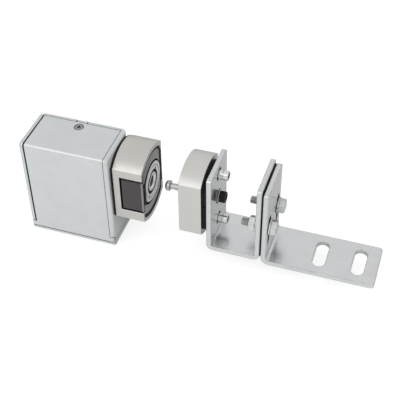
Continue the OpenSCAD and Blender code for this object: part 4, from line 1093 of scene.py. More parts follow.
class Form:
    """A mesh in the making, in millimetres of the lock's own frame."""

    def __init__(self) -> None:
        """Starts with an empty mesh."""
        self.mesh = bmesh.new()
        self.faces_out = False

    def ring(self, points: Iterable[Vector]) -> Row:
        """Adds a closed row of points."""
        return [self.mesh.verts.new(point) for point in points]

    def bridge(self, *rows: Row) -> None:
        """Joins closed rows with four-sided faces, each to the next.

        Args:
            rows: the rows, all of as many points.
        """
        for first, second in zip(rows, rows[1:]):
            for i in range(len(first)):
                j = (i + 1) % len(first)
                corners = (first[i], first[j], second[j], second[i])
                if len({v.co.to_tuple(5) for v in corners}) > 2:
                    self.mesh.faces.new(corners)

    def cap(self, *rows: Row) -> None:
        """Closes each row with one face."""
        for row in rows:
            self.mesh.faces.new(row)

    def prism(
        self, outline: Outline, low: float, high: float, place: Place,
        holes: Iterable[Outline] = (), edges: Point = (0.0, 0.0), steps: int = 3,
    ) -> "Form":
        """Adds a plate with rounded rims.

        Args:
            outline: the plate's outline.
            low: where the plate begins along its third axis.
            high: where it ends.
            place: places a point.
            holes: the holes' outlines.
            edges: the rims' radius at the low and at the high face.
            steps: how many parts a rounded rim has.

        Returns:
            This form.
        """
        rims: list[Point] = []
        for level, radius, sign in ((low, edges[0], 1.0), (high, edges[1], -1.0)):
            turns = [math.pi / 2 * i / steps for i in range(steps + 1)] if radius else [math.pi / 2]
            part = [(radius * (1 - math.sin(t)), level + sign * radius * (1 - math.cos(t))) for t in turns]
            rims += part if sign > 0 else part[::-1]
        faces: tuple[list, list] = ([], [])
        holes = list(holes)
        for loop in [outline] + [hole[::-1] for hole in holes]:
            rows = [
                self.ring(place(u, v, level) for u, v in (inset(loop, deep) if deep else loop))
                for deep, level in rims]
            self.bridge(*rows)
            for row, kept in zip((rows[0], rows[-1]), faces):
                if holes:
                    kept += [self.mesh.edges.get(pair) for pair in zip(row, row[1:] + row[:1])]
                else:
                    self.cap(row)
        if holes:
            for kept in faces:
                bmesh.ops.triangle_fill(self.mesh, use_beauty=True, edges=kept)
        return self

    def bend(self, line: BendLine) -> "Form":
        """Bends a plate that was drawn flat.

        Args:
            line: the line that its outer face follows.

        Returns:
            This form.
        """
        self.cut(0, *line.cuts())
        for vert in self.mesh.verts:
            vert.co = line.spot(*vert.co)
        return self

    def cut(self, axis: int, *places: float) -> None:
        """Adds edges where planes across an axis cross the mesh.

        Args:
            axis: 0 for X, 1 for Y, 2 for Z.
            places: where the planes lie along it.
        """
        for place in places:
            point, normal = Vector(), Vector()
            point[axis], normal[axis] = place, 1.0
            parts = self.mesh.verts[:] + self.mesh.edges[:] + self.mesh.faces[:]
            bmesh.ops.bisect_plane(self.mesh, geom=parts, dist=1e-5, plane_co=point, plane_no=normal)

    def lathe(self, profile: Outline, place: Place, steps: int = 64, closed: bool = False) -> "Form":
        """Adds a turned shape.

        Args:
            profile: places along the axis, each with its radius.
            place: places a point.
            steps: how many parts a turn has.
            closed: whether the profile's end meets its start, as in a washer.

        Returns:
            This form.
        """
        turns = [math.tau * i / steps for i in range(steps)]
        rows = [self.ring(place(r * math.cos(t), r * math.sin(t), w) for t in turns) for w, r in profile]
        self.bridge(*rows, *rows[:closed])
        if not closed:
            self.cap(*(rows[end] for end in (0, -1) if profile[end][1] > 1e-4))
        return self

    def shaped(
        self, levels: list[float], reach: Callable[[float, float], float], place: Place,
        steps: int = 48, bore: float = 0.0,
    ) -> "Form":
        """Adds a shape whose radius changes along its axis and round it.

        Args:
            levels: the places along the axis.
            reach: gives the radius at a place and an angle.
            place: places a point.
            steps: how many parts a turn has.
            bore: the radius of a hole through it, or 0.

        Returns:
            This form.
        """
        turns = [math.tau * i / steps for i in range(steps)]
        rows = [
            self.ring(place(reach(w, t) * math.cos(t), reach(w, t) * math.sin(t), w) for t in turns)
            for w in levels]
        self.bridge(*rows)
        if bore:
            ends = [
                self.ring(place(bore * math.cos(t), bore * math.sin(t), w) for t in turns)
                for w in (levels[0], levels[-1])]
            self.bridge(rows[0], *ends, rows[-1])
        else:
            self.cap(rows[0], rows[-1])
        return self

    def hexagon(
        self, flats: float, low: float, high: float, place: Place, cut_low: bool = True, bore: float = 0.0,
    ) -> "Form":
        """Adds a hexagon with its corners cut back by a cone, as on nuts and bolt heads.

        Args:
            flats: the distance across the flats.
            low: where it begins along the axis.
            high: where it ends.
            place: places a point.
            cut_low: whether the low end's corners are cut too.
            bore: the radius of its hole, or 0.

        Returns:
            This form.
        """
        steps = (0.0, 0.15, 0.35, 0.6, 0.9, 1.3)
        levels = [low + s for s in (steps if cut_low else (0.0,))] + [high - s for s in steps[::-1]]

        def reach(w: float, turn: float) -> float:
            """The hexagon's radius, held in by the cones."""
            ends = (w - low, high - w) if cut_low else (high - w,)
            return min(hexagon_radius(flats, turn), *(flats * 0.475 + end * 1.8 for end in ends))
        return self.shaped(levels, reach, place, 48, bore)

    def thread(self, ends: Point, radius: float, pitch: float, depth: float, place: Place, point: float) -> "Form":
        """Adds a threaded rod with a chamfered low end.

        Args:
            ends: the rod's free end and its other end.
            radius: the outer radius.
            pitch: the distance between the turns.
            depth: the depth of the thread.
            place: places a point.
            point: how far the end is chamfered.

        Returns:
            This form.
        """
        low, high = ends
        count = max(2, round((high - low) / pitch * 7))
        levels = [low + (high - low) * i / count for i in range(count + 1)]

        def reach(w: float, turn: float) -> float:
            """Gives the radius on the thread's flank.

            Args:
                w: the place along the axis.
                turn: the angle round it.

            Returns:
                The radius.
            """
            phase = (w / pitch - turn / math.tau) % 1.0
            flank = max(0.0, abs(2.0 * phase - 1.0) * 1.3 - 0.15)
            return min(radius - depth * min(1.0, flank), radius - point + (w - low))
        return self.shaped(levels, reach, place, 30)

    def sweep(self, path: list[Vector], radius: float, sides: int) -> "Form":
        """Adds a round wire along a path.

        Args:
            path: the wire's middle line.
            radius: the wire's radius.
            sides: how many sides the wire has.

        Returns:
            This form.
        """
        rows = []
        turns = [math.tau * k / sides for k in range(sides)]
        for index, point in enumerate(path):
            ahead = (path[min(index + 1, len(path) - 1)] - path[max(index - 1, 0)]).normalized()
            side = ahead.cross(Vector((0.0, 0.0, 1.0))).normalized()
            up = side.cross(ahead)
            rows.append(self.ring(point + radius * (math.cos(t) * side + math.sin(t) * up) for t in turns))
        self.bridge(*rows)
        self.cap(rows[0], rows[-1])
        return self

    def block(self, low: Triple, high: Triple) -> "Form":
        """Adds a plain block, for cutting away material."""
        return self.prism(corner_box(low[:2], high[:2], (0.0,) * 4), low[2], high[2], along_z())

    def rod(
        self, low: float, high: float, radius: float, place: Place, end: Optional[float] = None, steps: int = 40,
    ) -> "Form":
        """Adds a plain round bar or cone."""
        return self.lathe([(low, radius), (high, radius if end is None else end)], place, steps)

    def arm_slot(self, low: float, high: float, top: float = ARM_Z[1]) -> "Form":
        """Adds the passage of the latch's arm, from one X to another, to be cut away."""
        return self.block((low, ARM_Y[0], ARM_Z[0]), (high, ARM_Y[1], top))

    def screw_holes(self, low: float, high: float, steps: int = 24) -> "Form":
        """Adds the four head-screw holes, to be cut away.

        Args:
            low: the X where they begin.
            high: the X where they end.
            steps: how many parts a turn has.

        Returns:
            This form.
        """
        for y in SIDES:
            for z in SIDES:
                line = along_x(HEAD_Y + y * HEAD_SCREWS[0], HEAD_Z + z * HEAD_SCREWS[1])
                self.rod(low, high, HEAD_SCREWS[2], line, steps=steps)
        return self

    def to_object(self, name: str) -> Thing:
        """Turns the form into an object in metres, with its faces turned outwards.

        Args:
            name: the object's name.

        Returns:
            The object.
        """
        bmesh.ops.remove_doubles(self.mesh, verts=self.mesh.verts[:], dist=0.0008)
        bmesh.ops.dissolve_degenerate(self.mesh, dist=0.0005, edges=self.mesh.edges[:])
        if not self.faces_out:
            bmesh.ops.recalc_face_normals(self.mesh, faces=self.mesh.faces[:])
        bmesh.ops.scale(self.mesh, vec=(MM, MM, MM), verts=self.mesh.verts[:])
        for face in self.mesh.faces:
            face.smooth = True
        mesh = bpy.data.meshes.new(name)
        self.mesh.to_mesh(mesh)
        self.mesh.free()
        return show(name, mesh)


def modifier(thing: Thing, name: str, kind: str, **settings: object) -> None:
    """Adds a modifier.

    Args:
        thing: the object.
        name: the modifier's name.
        kind: Blender's name of its type.
        settings: its properties.
    """
    made = thing.modifiers.new(name, kind)
    for key, value in settings.items():
        setattr(made, key, value)


def soften_edges(thing: Thing, width: float, angle: float, segments: int) -> None:
    """Rounds an object's edges by a width in millimetres, from an angle in degrees."""
    modifier(
        thing, "soft_edge", "BEVEL", width=width * MM, segments=segments, limit_method="ANGLE",
        angle_limit=math.radians(angle), use_clamp_overlap=False, harden_normals=True)


@dataclass
class Piece:
    """One physical piece of the lock, from its form to its finish.

    Args:
        name: the piece's name.
        body: the body that it rides on.
        stock: its finish.
        replaces: the CAD nodes that it stands for.
        soften: the width of the softened edges in millimetres, or 0 where the form has its own.
        crease: the least angle in degrees that counts as an edge.
        skin: the thickness of a folded sheet in millimetres, or 0 where the form is solid.
    """

    name: str
    body: str
    stock: Stock
    replaces: tuple[str, ...] = ()
    soften: float = 0.0
    crease: float = 34.0
    skin: float = 0.0

    def make(self, form: Form, carved: Iterable[Form] = ()) -> Thing:
        """Finishes the form and puts it in the lock.

        Args:
            form: the piece's form.
            carved: forms that are cut away from it.

        Returns:
            The finished object, with its modifiers applied.
        """
        raw = form.to_object(self.name + "_raw")
        spent = [raw]
        if self.skin:
            modifier(raw, "sheet", "SOLIDIFY", thickness=self.skin * MM, offset=-1.0, use_even_offset=True)
        for index, tool in enumerate(carved):
            spent.append(tool.to_object(f"{self.name}_cut_{index}"))
            modifier(raw, f"away_{index}", "BOOLEAN", operation="DIFFERENCE", solver="EXACT", object=spent[-1])
        if self.soften:
            soften_edges(raw, self.soften, self.crease, 3)
        else:
            raw.data.set_sharp_from_angle(angle=math.radians(self.crease))
            modifier(raw, "even_shading", "WEIGHTED_NORMAL", keep_sharp=True)
        bpy.context.view_layer.update()
        graph = bpy.context.evaluated_depsgraph_get()
        mesh = bpy.data.meshes.new_from_object(raw.evaluated_get(graph))
        mesh.name = self.name
        if self.skin:
            low, high = CAD_BOX
            for vert in mesh.vertices:
                vert.co = [min(max(part, a), b) for part, a, b in zip(vert.co, low, (*SHEET_ENDS, high[2]))]
        for item in spent:
            old = item.data
            bpy.data.objects.remove(item)
            bpy.data.meshes.remove(old)
        made = show(self.name, mesh)
        mesh.materials.clear()
        mesh.materials.append(self.stock.value.material())
        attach(made, self.body)
        if self.replaces:
            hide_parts(*self.replaces)
        log.info("%s: %d faces, %s, on %s", self.name, len(mesh.polygons), self.stock.value.name, self.body)
        return made


def carry(stock: Stock, soften: float, *nodes: str) -> None:
    """Keeps CAD nodes and gives them their finish and softened edges.

    Args:
        stock: the finish.
        soften: the width of the softened edges in millimetres.
        nodes: the CAD nodes' names.
    """
    for node in nodes:
        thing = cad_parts[node]
        for index in range(len(thing.data.materials)):
            thing.data.materials[index] = stock.value.material()
        modifier(thing, "weld", "WELD", merge_threshold=0.000005)
        modifier(thing, "flat", "DECIMATE", decimate_type="DISSOLVE", angle_limit=math.radians(0.5))
        soften_edges(thing, soften, 35.0, 2)
        log.info("%s: carried, %s", node, stock.value.name)


# The lock's box

@dataclass
class LockBox:
    """The bent sheet box: channel, cover, cover screws and cable grommet. All sizes are in millimetres.

    Each seam has two places: where the cover's sheet ends, and where the channel's begins.

    Args:
        half: half the width and half the height.
        depth: the depth from the post to the front.
        sheet: the sheet's thickness.
        edge: the outer radius of the front and top bends.
        back: the outer radius of the rear bends.
        cover_x: the cover's left and right edge.
        flange: where the channel's front flanges end.
        rear_y: the seam behind the cover's top.
        band_y: the seam at the sides of the cover's full-width band.
        lip_y: the seam behind the cover's side lips.
        foot_y: the seam behind the cover's bottom.
        band_z: the seam above the band.
        lip_z: the seam above the side lips.
        floor_z: where the channel's walls end above the cover's bottom.
        hem: the section of the groove above the cover's folded hem, from its own height.
        hem_z: that height.
        tab: half the width of the screw tabs.
        notch: the width of the relief notches.
        screw_y: where the cover screws stand.
        mounts: half the spacing of the post holes.
        mount_radius: the radius of the post holes.
        inlet: where the cable comes in.
        inlet_radius: the radius of its hole.
        coil_screws: where the solenoid screws go through the back.
        switch_screws: where the switch screws go through it.
        board_inset: how far the board screws' middles lie inside the box round them all.
    """

    half: Point = (45.0, 55.0)
    depth: float = 52.0
    sheet: float = 1.5
    edge: float = 3.0
    back: float = 6.0
    cover_x: Point = (-39.0, 40.1)
    flange: float = 40.5
    rear_y: Point = (-5.3, -4.5)
    band_y: Point = (-50.1, -49.7)
    lip_y: Point = (-7.6, -6.8)
    foot_y: Point = (-1.9, -1.5)
    band_z: Point = (-44.5, -43.7)
    lip_z: Point = (-49.0, -48.2)
    floor_z: float = -53.1
    hem: tuple[Point, ...] = ((-0.5, 0.0), (-0.45, 1.1), (0.45, 1.1), (0.5, 0.0))
    hem_z: float = -50.6
    tab: float = 5.0
    notch: float = 1.2
    screw_y: float = -12.0
    mounts: Point = (34.0, 44.0)
    mount_radius: float = 3.3
    inlet: Point = (-20.0, -30.0)
    inlet_radius: float = 6.0
    coil_screws: tuple[Point, Point] = ((11.0, 17.0), (29.0, 17.0))
    switch_screws: tuple[Point, Point] = ((-10.75, 11.6), (-1.25, 11.6))
    board_inset: float = 2.7

    def skin(self) -> Form:
        """Draws the outer face of the whole box, cut along every seam.

        Returns:
            The form, still in one piece.
        """
        x, z = self.half
        form = Form()
        near = self.edge + 0.4
        plan = corner_box((-x, -self.depth), (x, 0.0), (near, near, self.back, self.back), 10)
        bends = [(1 - math.cos(t), 1 - math.sin(t)) for t in (math.pi / 2 * i / 6 for i in range(7))]
        levels = [(-z + self.edge * rise, 0.0, self.edge * run) for rise, run in bends]
        levels += [(self.hem_z + rise, 0.0, deep) for rise, deep in self.hem]
        levels += [(z - self.edge * run, self.edge * rise, 0.0) for rise, run in bends]
        rows = []
        for level, deep, pressed in levels:
            loop = inset(plan, deep) if deep else plan
            rows.append(form.ring(Vector((u, max(v, -self.depth + pressed), level)) for u, v in loop))
        form.cap(rows[0][::-1])
        form.bridge(*rows)
        form.cap(rows[-1])
        bmesh.ops.remove_doubles(form.mesh, verts=form.mesh.verts[:], dist=0.0005)
        form.cut(0, *self.cover_x, -self.flange, self.flange)
        form.cut(1, *self.rear_y, *self.band_y, *self.lip_y, *self.foot_y)
        form.cut(2, *self.band_z, *self.lip_z, self.floor_z)
        return form

    def sheet_part(self, name: str, node: str, wanted: Callable[[Vector], bool], carved: Form) -> None:
        """Makes one of the box's two folded sheets.

        Args:
            name: the piece's name.
            node: the CAD node that it stands for.
            wanted: says whether a face of the skin belongs to it, from the face's middle.
            carved: what is cut away from it.
        """
        form = self.skin()
        mesh = form.mesh
        bmesh.ops.recalc_face_normals(mesh, faces=mesh.faces[:])
        form.faces_out = True
        spare = [face for face in mesh.faces if not wanted(face.calc_center_median())]
        bmesh.ops.delete(mesh, geom=spare, context="FACES")
        bmesh.ops.remove_doubles(mesh, verts=mesh.verts[:], dist=0.09)
        bmesh.ops.dissolve_limit(mesh, angle_limit=math.radians(0.4), verts=mesh.verts[:], edges=mesh.edges[:])
        Piece(name, "lock_body", Stock.BOX_ZINC, (node,), 0.28, 40.0, self.sheet).make(form, [carved])

    def in_cover(self, c: Vector) -> bool:
        """Says whether a face belongs to the cover: front and top, full-width band, side lips or bottom.

        Args:
            c: the face's middle.

        Returns:
            Whether it does.
        """
        middle = self.cover_x[0] < c.x < self.cover_x[1] and c.y < self.rear_y[0]
        band = c.z < self.band_z[0] and c.y < self.band_y[0]
        lips = c.z < self.lip_z[0] and c.y < self.lip_y[0]
        return middle or band or lips or (c.z < 0.1 - self.half[1] and c.y < self.foot_y[0])

    def in_channel(self, c: Vector) -> bool:
        """Says whether a face belongs to the channel: back, side walls or flanges.

        Args:
            c: the face's middle.

        Returns:
            Whether it does.
        """
        wall = abs(c.x) > self.flange or c.y > self.rear_y[1]
        open_foot = c.z < self.lip_z[1] and c.y < self.lip_y[1]
        open_band = c.z < self.band_z[1] and c.y < self.band_y[1]
        open_bottom = c.z < self.floor_z and c.y < self.foot_y[1] or c.z < 0.01 - self.half[1]
        return wall and not (open_foot or open_band or open_bottom)

    def dimples(self) -> Form:
        """Draws what the screw dimples take away from the cover.

        Returns:
            The form to cut away.
        """
        form = Form()
        top = self.half[1]
        profile = [(top - 3.0, 2.6), (top - 1.35, 2.6), (top - 0.9, 4.75), (top + 1.0, 5.0)]
        for side in (1.0, -1.0):
            form.lathe([(side * w, r) for w, r in profile], along_z(0.0, self.screw_y), 48)
        return form

    def holes(self) -> Form:
        """Draws the channel's holes and notches.

        Returns:
            The form to cut away.
        """
        form = Form()
        low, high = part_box("board_screws")
        inset_by = self.board_inset
        board_x = (low.x / MM + inset_by, high.x / MM - inset_by)
        board_z = (low.z / MM + inset_by, high.z / MM - inset_by)
        spots = [(sx * self.mounts[0], sz * self.mounts[1], self.mount_radius, None) for sx in SIDES for sz in SIDES]
        spots += [(*self.inlet, self.inlet_radius, None)]
        spots += [(*spot, 1.6, 3.6) for spot in self.coil_screws]
        spots += [(*spot, 1.1, None) for spot in self.switch_screws]
        spots += [(x, z, 1.6, None) for x in board_x for z in board_z]
        for x, z, radius, end in spots:
            form.rod(-3.0, 1.0, radius, along_y(x, z), end)
        top = self.half[1]
        for side in SIDES:
            middle = side * (self.tab + self.notch / 2)
            for low_z, high_z in ((top - self.sheet - 0.2, top + 0.2), (-top - 0.2, -top + self.sheet + 0.2)):
                near = (middle - self.notch / 2, -self.sheet - 4.6, low_z)
                form.block(near, (middle + self.notch / 2, 0.3, high_z))
        wall = (self.half[0] - 2.0, self.half[0] + 0.5)
        return form.arm_slot(*wall).screw_holes(*wall, steps=40)

    def tabs(self) -> None:
        """Makes the joggled tabs that carry the cover screws."""
        form = Form()
        top = self.half[1]
        outline = corner_box((-self.tab, -16.6), (self.tab, -self.sheet + 0.1), (1.5, 1.5, 0.0, 0.0), 6)
        for side in SIDES:
            z0, z1 = sorted((side * (top - 3.0), side * (top - self.sheet)))
            form.prism(outline, z0, z1, along_z(), [circle((0.0, self.screw_y), 2.6, 32)], (0.2, 0.2))
        Piece("screw_tabs", "lock_body", Stock.BOX_ZINC).make(form)

    def screws(self) -> None:
        """Makes the two cover screws with their cross recesses."""
        form, cross, bits = Form(), Form(), Form()
        line = along_z(0.0, self.screw_y)
        top = self.half[1]
        rim = [(47.0, 1.9), (47.5, 2.4), (53.55, 2.4), (54.45, 4.2), (54.62, 4.32), (54.78, 4.2), (54.86, 3.6)]
        tip = [(top - 2.2, 0.0), (top - 1.4, 1.1), (top + 0.4, 1.3)]
        for side in (1.0, -1.0):
            form.lathe([(side * w, r) for w, r in rim + [(54.9, 0.0)]], line, 48)
            bits.lathe([(side * w, r) for w, r in tip], line, 24)
            cross.prism(plus_outline(4.6, 1.15), *sorted((side * (top - 1.9), side * (top + 0.5))), line)
        Piece("cross_screws", "lock_body", Stock.SCREW_GREY, ("cover_screws",), 0.08).make(form, [cross, bits])

    def grommet(self) -> None:
        """Makes the rubber grommet of the cable inlet."""
        profile = [(0.0, 4.2), (0.0, 5.7), (-0.2, 5.9), (-1.45, 5.9), (-1.55, 6.2), (-1.55, 7.1), (-1.75, 7.45)]
        profile += [(-2.6, 7.45), (-3.1, 6.9), (-3.3, 6.2), (-3.3, 4.6), (-3.1, 4.15), (-2.6, 4.0), (-0.4, 4.0)]
        form = Form().lathe(profile, along_y(*self.inlet), 56, closed=True)
        Piece("inlet_grommet", "lock_body", Stock.RUBBER, ("cable_grommet",), crease=50.0).make(form)

    def build(self) -> None:
        """Makes the box's pieces."""
        self.sheet_part("bent_cover", "front_cover", self.in_cover, self.dimples())
        self.sheet_part("bent_channel", "back_channel", self.in_channel, self.holes())
        self.tabs()
        self.screws()
        self.grommet()


# The head

@dataclass
class LockHead:
    """The round head with two flats: gasket, shell, core, disc, black filler in painted shade and screws. All sizes
    are in millimetres.

    Args:
        radius: the shell's outer radius.
        flats: the distance across its flats.
        lift: how far the shell's outer face stands above the axis.
        wall: the shell's wall.
        back_x: where the gasket meets the box.
        shell_x: where the shell begins.
        face_x: the face.
        core_x: the shell's inner floor.
        pocket_x: where the latch's pocket ends.
        window: where each window begins, and its lower and upper edge from the axis.
        panel: the same for the land in painted shade in the window.
        core_radius: the core's radius.
        core_flats: the distance across the core's flats.
        land: how far the lands in the windows stand from the axis.
        ring_x: where the face ring begins, where its bevel begins, and its flat face.
        ring_radius: the outer and inner radius of that bevel.
        ring_flats: the distance across the face ring's flats.
        seat_x: the floor of the disc's seat.
        seat_radius: the radius of that seat.
        socket: the socket's radius.
        disc_centre: the disc's own axis in Y and Z.
    """

    radius: float = 40.1
    flats: float = 54.0
    lift: float = 0.8
    wall: float = 4.6
    back_x: float = 45.0
    shell_x: float = 46.5
    face_x: float = 75.5
    core_x: float = 49.5
    pocket_x: float = 63.3
    window: Triple = (52.8, -18.2, 21.9)
    panel: Triple = (54.5, -16.4, 18.9)
    core_radius: float = 34.2
    core_flats: float = 45.4
    land: float = 26.2
    ring_x: Triple = (73.6, 74.3, 74.8)
    ring_radius: Point = (32.6, 29.0)
    ring_flats: float = 43.4
    seat_x: float = 70.5
    seat_radius: float = 22.7
    socket: float = 6.3
    disc_centre: Point = (HEAD_Y + 0.5, HEAD_Z + 0.3)

    def gasket(self) -> None:
        """Makes the rubber gasket between box and head."""
        place = along_x(HEAD_Y, HEAD_Z + self.lift)
        form = Form().prism(flatted(39.7, 53.4, 1.0), self.back_x, self.shell_x, place, edges=(0.25, 0.25))
        slot = Form().arm_slot(self.back_x - 1.0, self.shell_x + 1.0)
        Piece("head_seal", "lock_body", Stock.RUBBER, ("head_gasket",), crease=40.0).make(form, [slot])

    def shell(self) -> None:
        """Makes the satin shell with its two windows."""
        outer = along_x(HEAD_Y, HEAD_Z + self.lift)
        front = self.face_x + 2.0
        form = Form().prism(flatted(self.radius, self.flats, 1.2), self.shell_x, self.face_x, outer)
        cavity = Form().prism(flatted(self.radius - self.wall, self.flats - 6.2), self.core_x, front, along_x())
        windows = Form()
        start, low, high = self.window
        for y in (-50.0, 3.9):
            windows.block((start, y, HEAD_Z + low), (front, y + 8.1, HEAD_Z + high))
        floor = (self.shell_x - 1.0, self.core_x + 1.0)
        back = Form().screw_holes(*floor).arm_slot(*floor)
        piece = Piece("satin_shell", "lock_body", Stock.SHELL_SATIN, ("head_shell",), 0.5, 30.0)
        piece.make(form, [cavity, windows, back])

    def core(self) -> None:
        """Makes the dark core with its bevelled face ring."""
        form = Form()
        body = flatted(self.core_radius, self.core_flats)
        place = along_x()
        wide, bevel = (self.core_radius, self.core_flats), (self.ring_radius[0], self.ring_flats)
        levels = [(self.core_x, *wide), (self.ring_x[0], *wide), (self.ring_x[0], *bevel)]
        levels += [(self.ring_x[1], *bevel), (self.ring_x[2], self.ring_radius[1], self.ring_flats)]
        rows = []
        for level, reach, flats in levels:
            side, tall = flats / self.core_flats, reach / self.core_radius
            rows.append(form.ring(place(u * side, v * tall, level) for u, v in body))
        form.bridge(*rows)
        form.cap(rows[0], rows[-1])
        start = self.core_x - 1.0
        seat = Form().rod(self.seat_x, self.face_x + 1.0, self.seat_radius, place, steps=96)
        socket = Form().rod(start, 72.0, self.socket, place, steps=48)
        low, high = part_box("latch_guide")
        near = (start, low.y / MM - 0.1, low.z / MM - 0.1)
        pocket = Form().block(near, (self.pocket_x, high.y / MM + 0.1, high.z / MM + 0.1))
        arm = Form().arm_slot(start, self.pocket_x, low.z / MM + 0.5)
        piece = Piece("core_body", "lock_body", Stock.CORE_TURNED, ("head_core",), 0.25, 20.0)
        piece.make(form, [seat, socket, pocket, arm, Form().screw_holes(start, 58.5)])

    def lands(self) -> None:
        """Makes the lands that fill the windows, in the core's colour darkened as painted shade, and the grey edge
        strip of the near one.
        """
        form = Form()
        start, low, high = self.panel
        edge = self.face_x - 1.5
        panel = corner_box((start, HEAD_Z + low), (edge, HEAD_Z + high), (0.6, 0.3, 0.3, 0.6), 4)
        for side in SIDES:
            y0, y1 = sorted((side * (self.core_flats / 2 + 0.9), side * self.land))
            form.prism(panel, HEAD_Y + y0, HEAD_Y + y1, along_y(), edges=(0.25, 0.25))
        Piece("core_lands", "lock_body", Stock.SHADED_LAND).make(form)
        panel = corner_box((edge, HEAD_Z + low), (self.face_x - 0.15, HEAD_Z + high), (0.1, 0.2, 0.2, 0.1), 3)
        inner = HEAD_Y - self.core_flats / 2 - 1.0
        strip = Form().prism(panel, HEAD_Y - self.land, inner, along_y(), edges=(0.15, 0.15))
        Piece("land_strip", "lock_body", Stock.CORE_TURNED).make(strip)

    def fill_gap_shade(self) -> None:
        """Makes the black filler that paints shade into the gaps between core, lands, disc and shell, and into the
        disc's groove.
        """
        form = Form()
        joint = flatted(self.radius - self.wall - 0.15, self.flats - 6.6)
        hole = flatted(self.ring_radius[0] + 0.1, self.ring_flats + 0.2)
        form.prism(joint, self.ring_x[0] + 0.1, self.face_x - 0.6, along_x(), [hole])
        start, low, high = self.window
        backing = corner_box((start + 0.1, HEAD_Z + low + 0.2), (73.5, HEAD_Z + high - 0.2), (0.3,) * 4, 3)
        for side in SIDES:
            y0, y1 = sorted((side * (self.core_flats / 2 + 0.15), side * (self.core_flats / 2 + 0.8)))
            form.prism(backing, HEAD_Y + y0, HEAD_Y + y1, along_y())
        far = corner_box((73.8, HEAD_Z + low + 0.05), (self.face_x - 0.3, HEAD_Z + high - 0.05), (0.2,) * 4, 3)
        inner, outer = HEAD_Y + self.core_flats / 2 + 1.1, HEAD_Y + self.land + 0.6
        form.prism(far, inner, outer, along_y(), edges=(0.15, 0.15))
        seam = corner_box((HEAD_Y - 21.9, HEAD_Z - 12.5), (HEAD_Y - 17.6, HEAD_Z + 12.5), (1.2, 0.2, 0.2, 1.2), 4)
        form.prism(seam, self.face_x - 0.7, self.face_x + 0.12, along_x(0.0, 0.0))
        for back, front, inside, outside in ((72.0, 75.3, 20.55, 21.0), (71.7, 73.8, 9.6, 12.4)):
            band = [(back, inside), (front, inside), (front, outside), (back, outside)]
            form.lathe(band, along_x(*self.disc_centre), 96, closed=True)
        Piece("gap_shade_filler", "lock_body", Stock.GAP_SHADE).make(form)

    def disc(self) -> None:
        """Makes the receiver disc with its grooves, the socket and two spanner holes."""
        face, back = self.face_x, self.seat_x
        profile = [(back, self.socket), (back, 20.3), (back + 0.3, 20.5), (75.0, 20.5), (75.3, 20.35), (face, 20.0)]
        profile += [(face, 17.1), (75.35, 17.0), (74.9, 16.95), (74.9, 16.35), (75.35, 16.3), (face, 16.2)]
        profile += [(face, 12.9), (75.25, 12.6), (71.5, 12.5), (71.5, 9.5), (75.25, 9.4), (face, 9.1)]
        profile += [(face, 7.5), (75.3, 7.1), (74.4, 6.5), (74.0, self.socket)]
        form = Form().lathe(profile, along_x(*self.disc_centre), 96, closed=True)
        pins = Form()
        for side in SIDES:
            pins.rod(73.0, 76.5, 1.3, along_x(HEAD_Y + side * 8.9, HEAD_Z + side * 10.9), steps=24)
        piece = Piece("grooved_disc", "lock_body", Stock.DISC_TURNED, ("receiver_disc",), crease=26.0)
        piece.make(form, [pins])

    def build(self) -> None:
        """Makes the head's pieces."""
        for step in (self.gasket, self.shell, self.core, self.lands, self.fill_gap_shade, self.disc):
            step()
        carry(Stock.BLACK_STEEL, 0.15, "head_screws")
        carry(Stock.SOLENOID_STEEL, 0.3, "latch_guide")


# What is inside the box

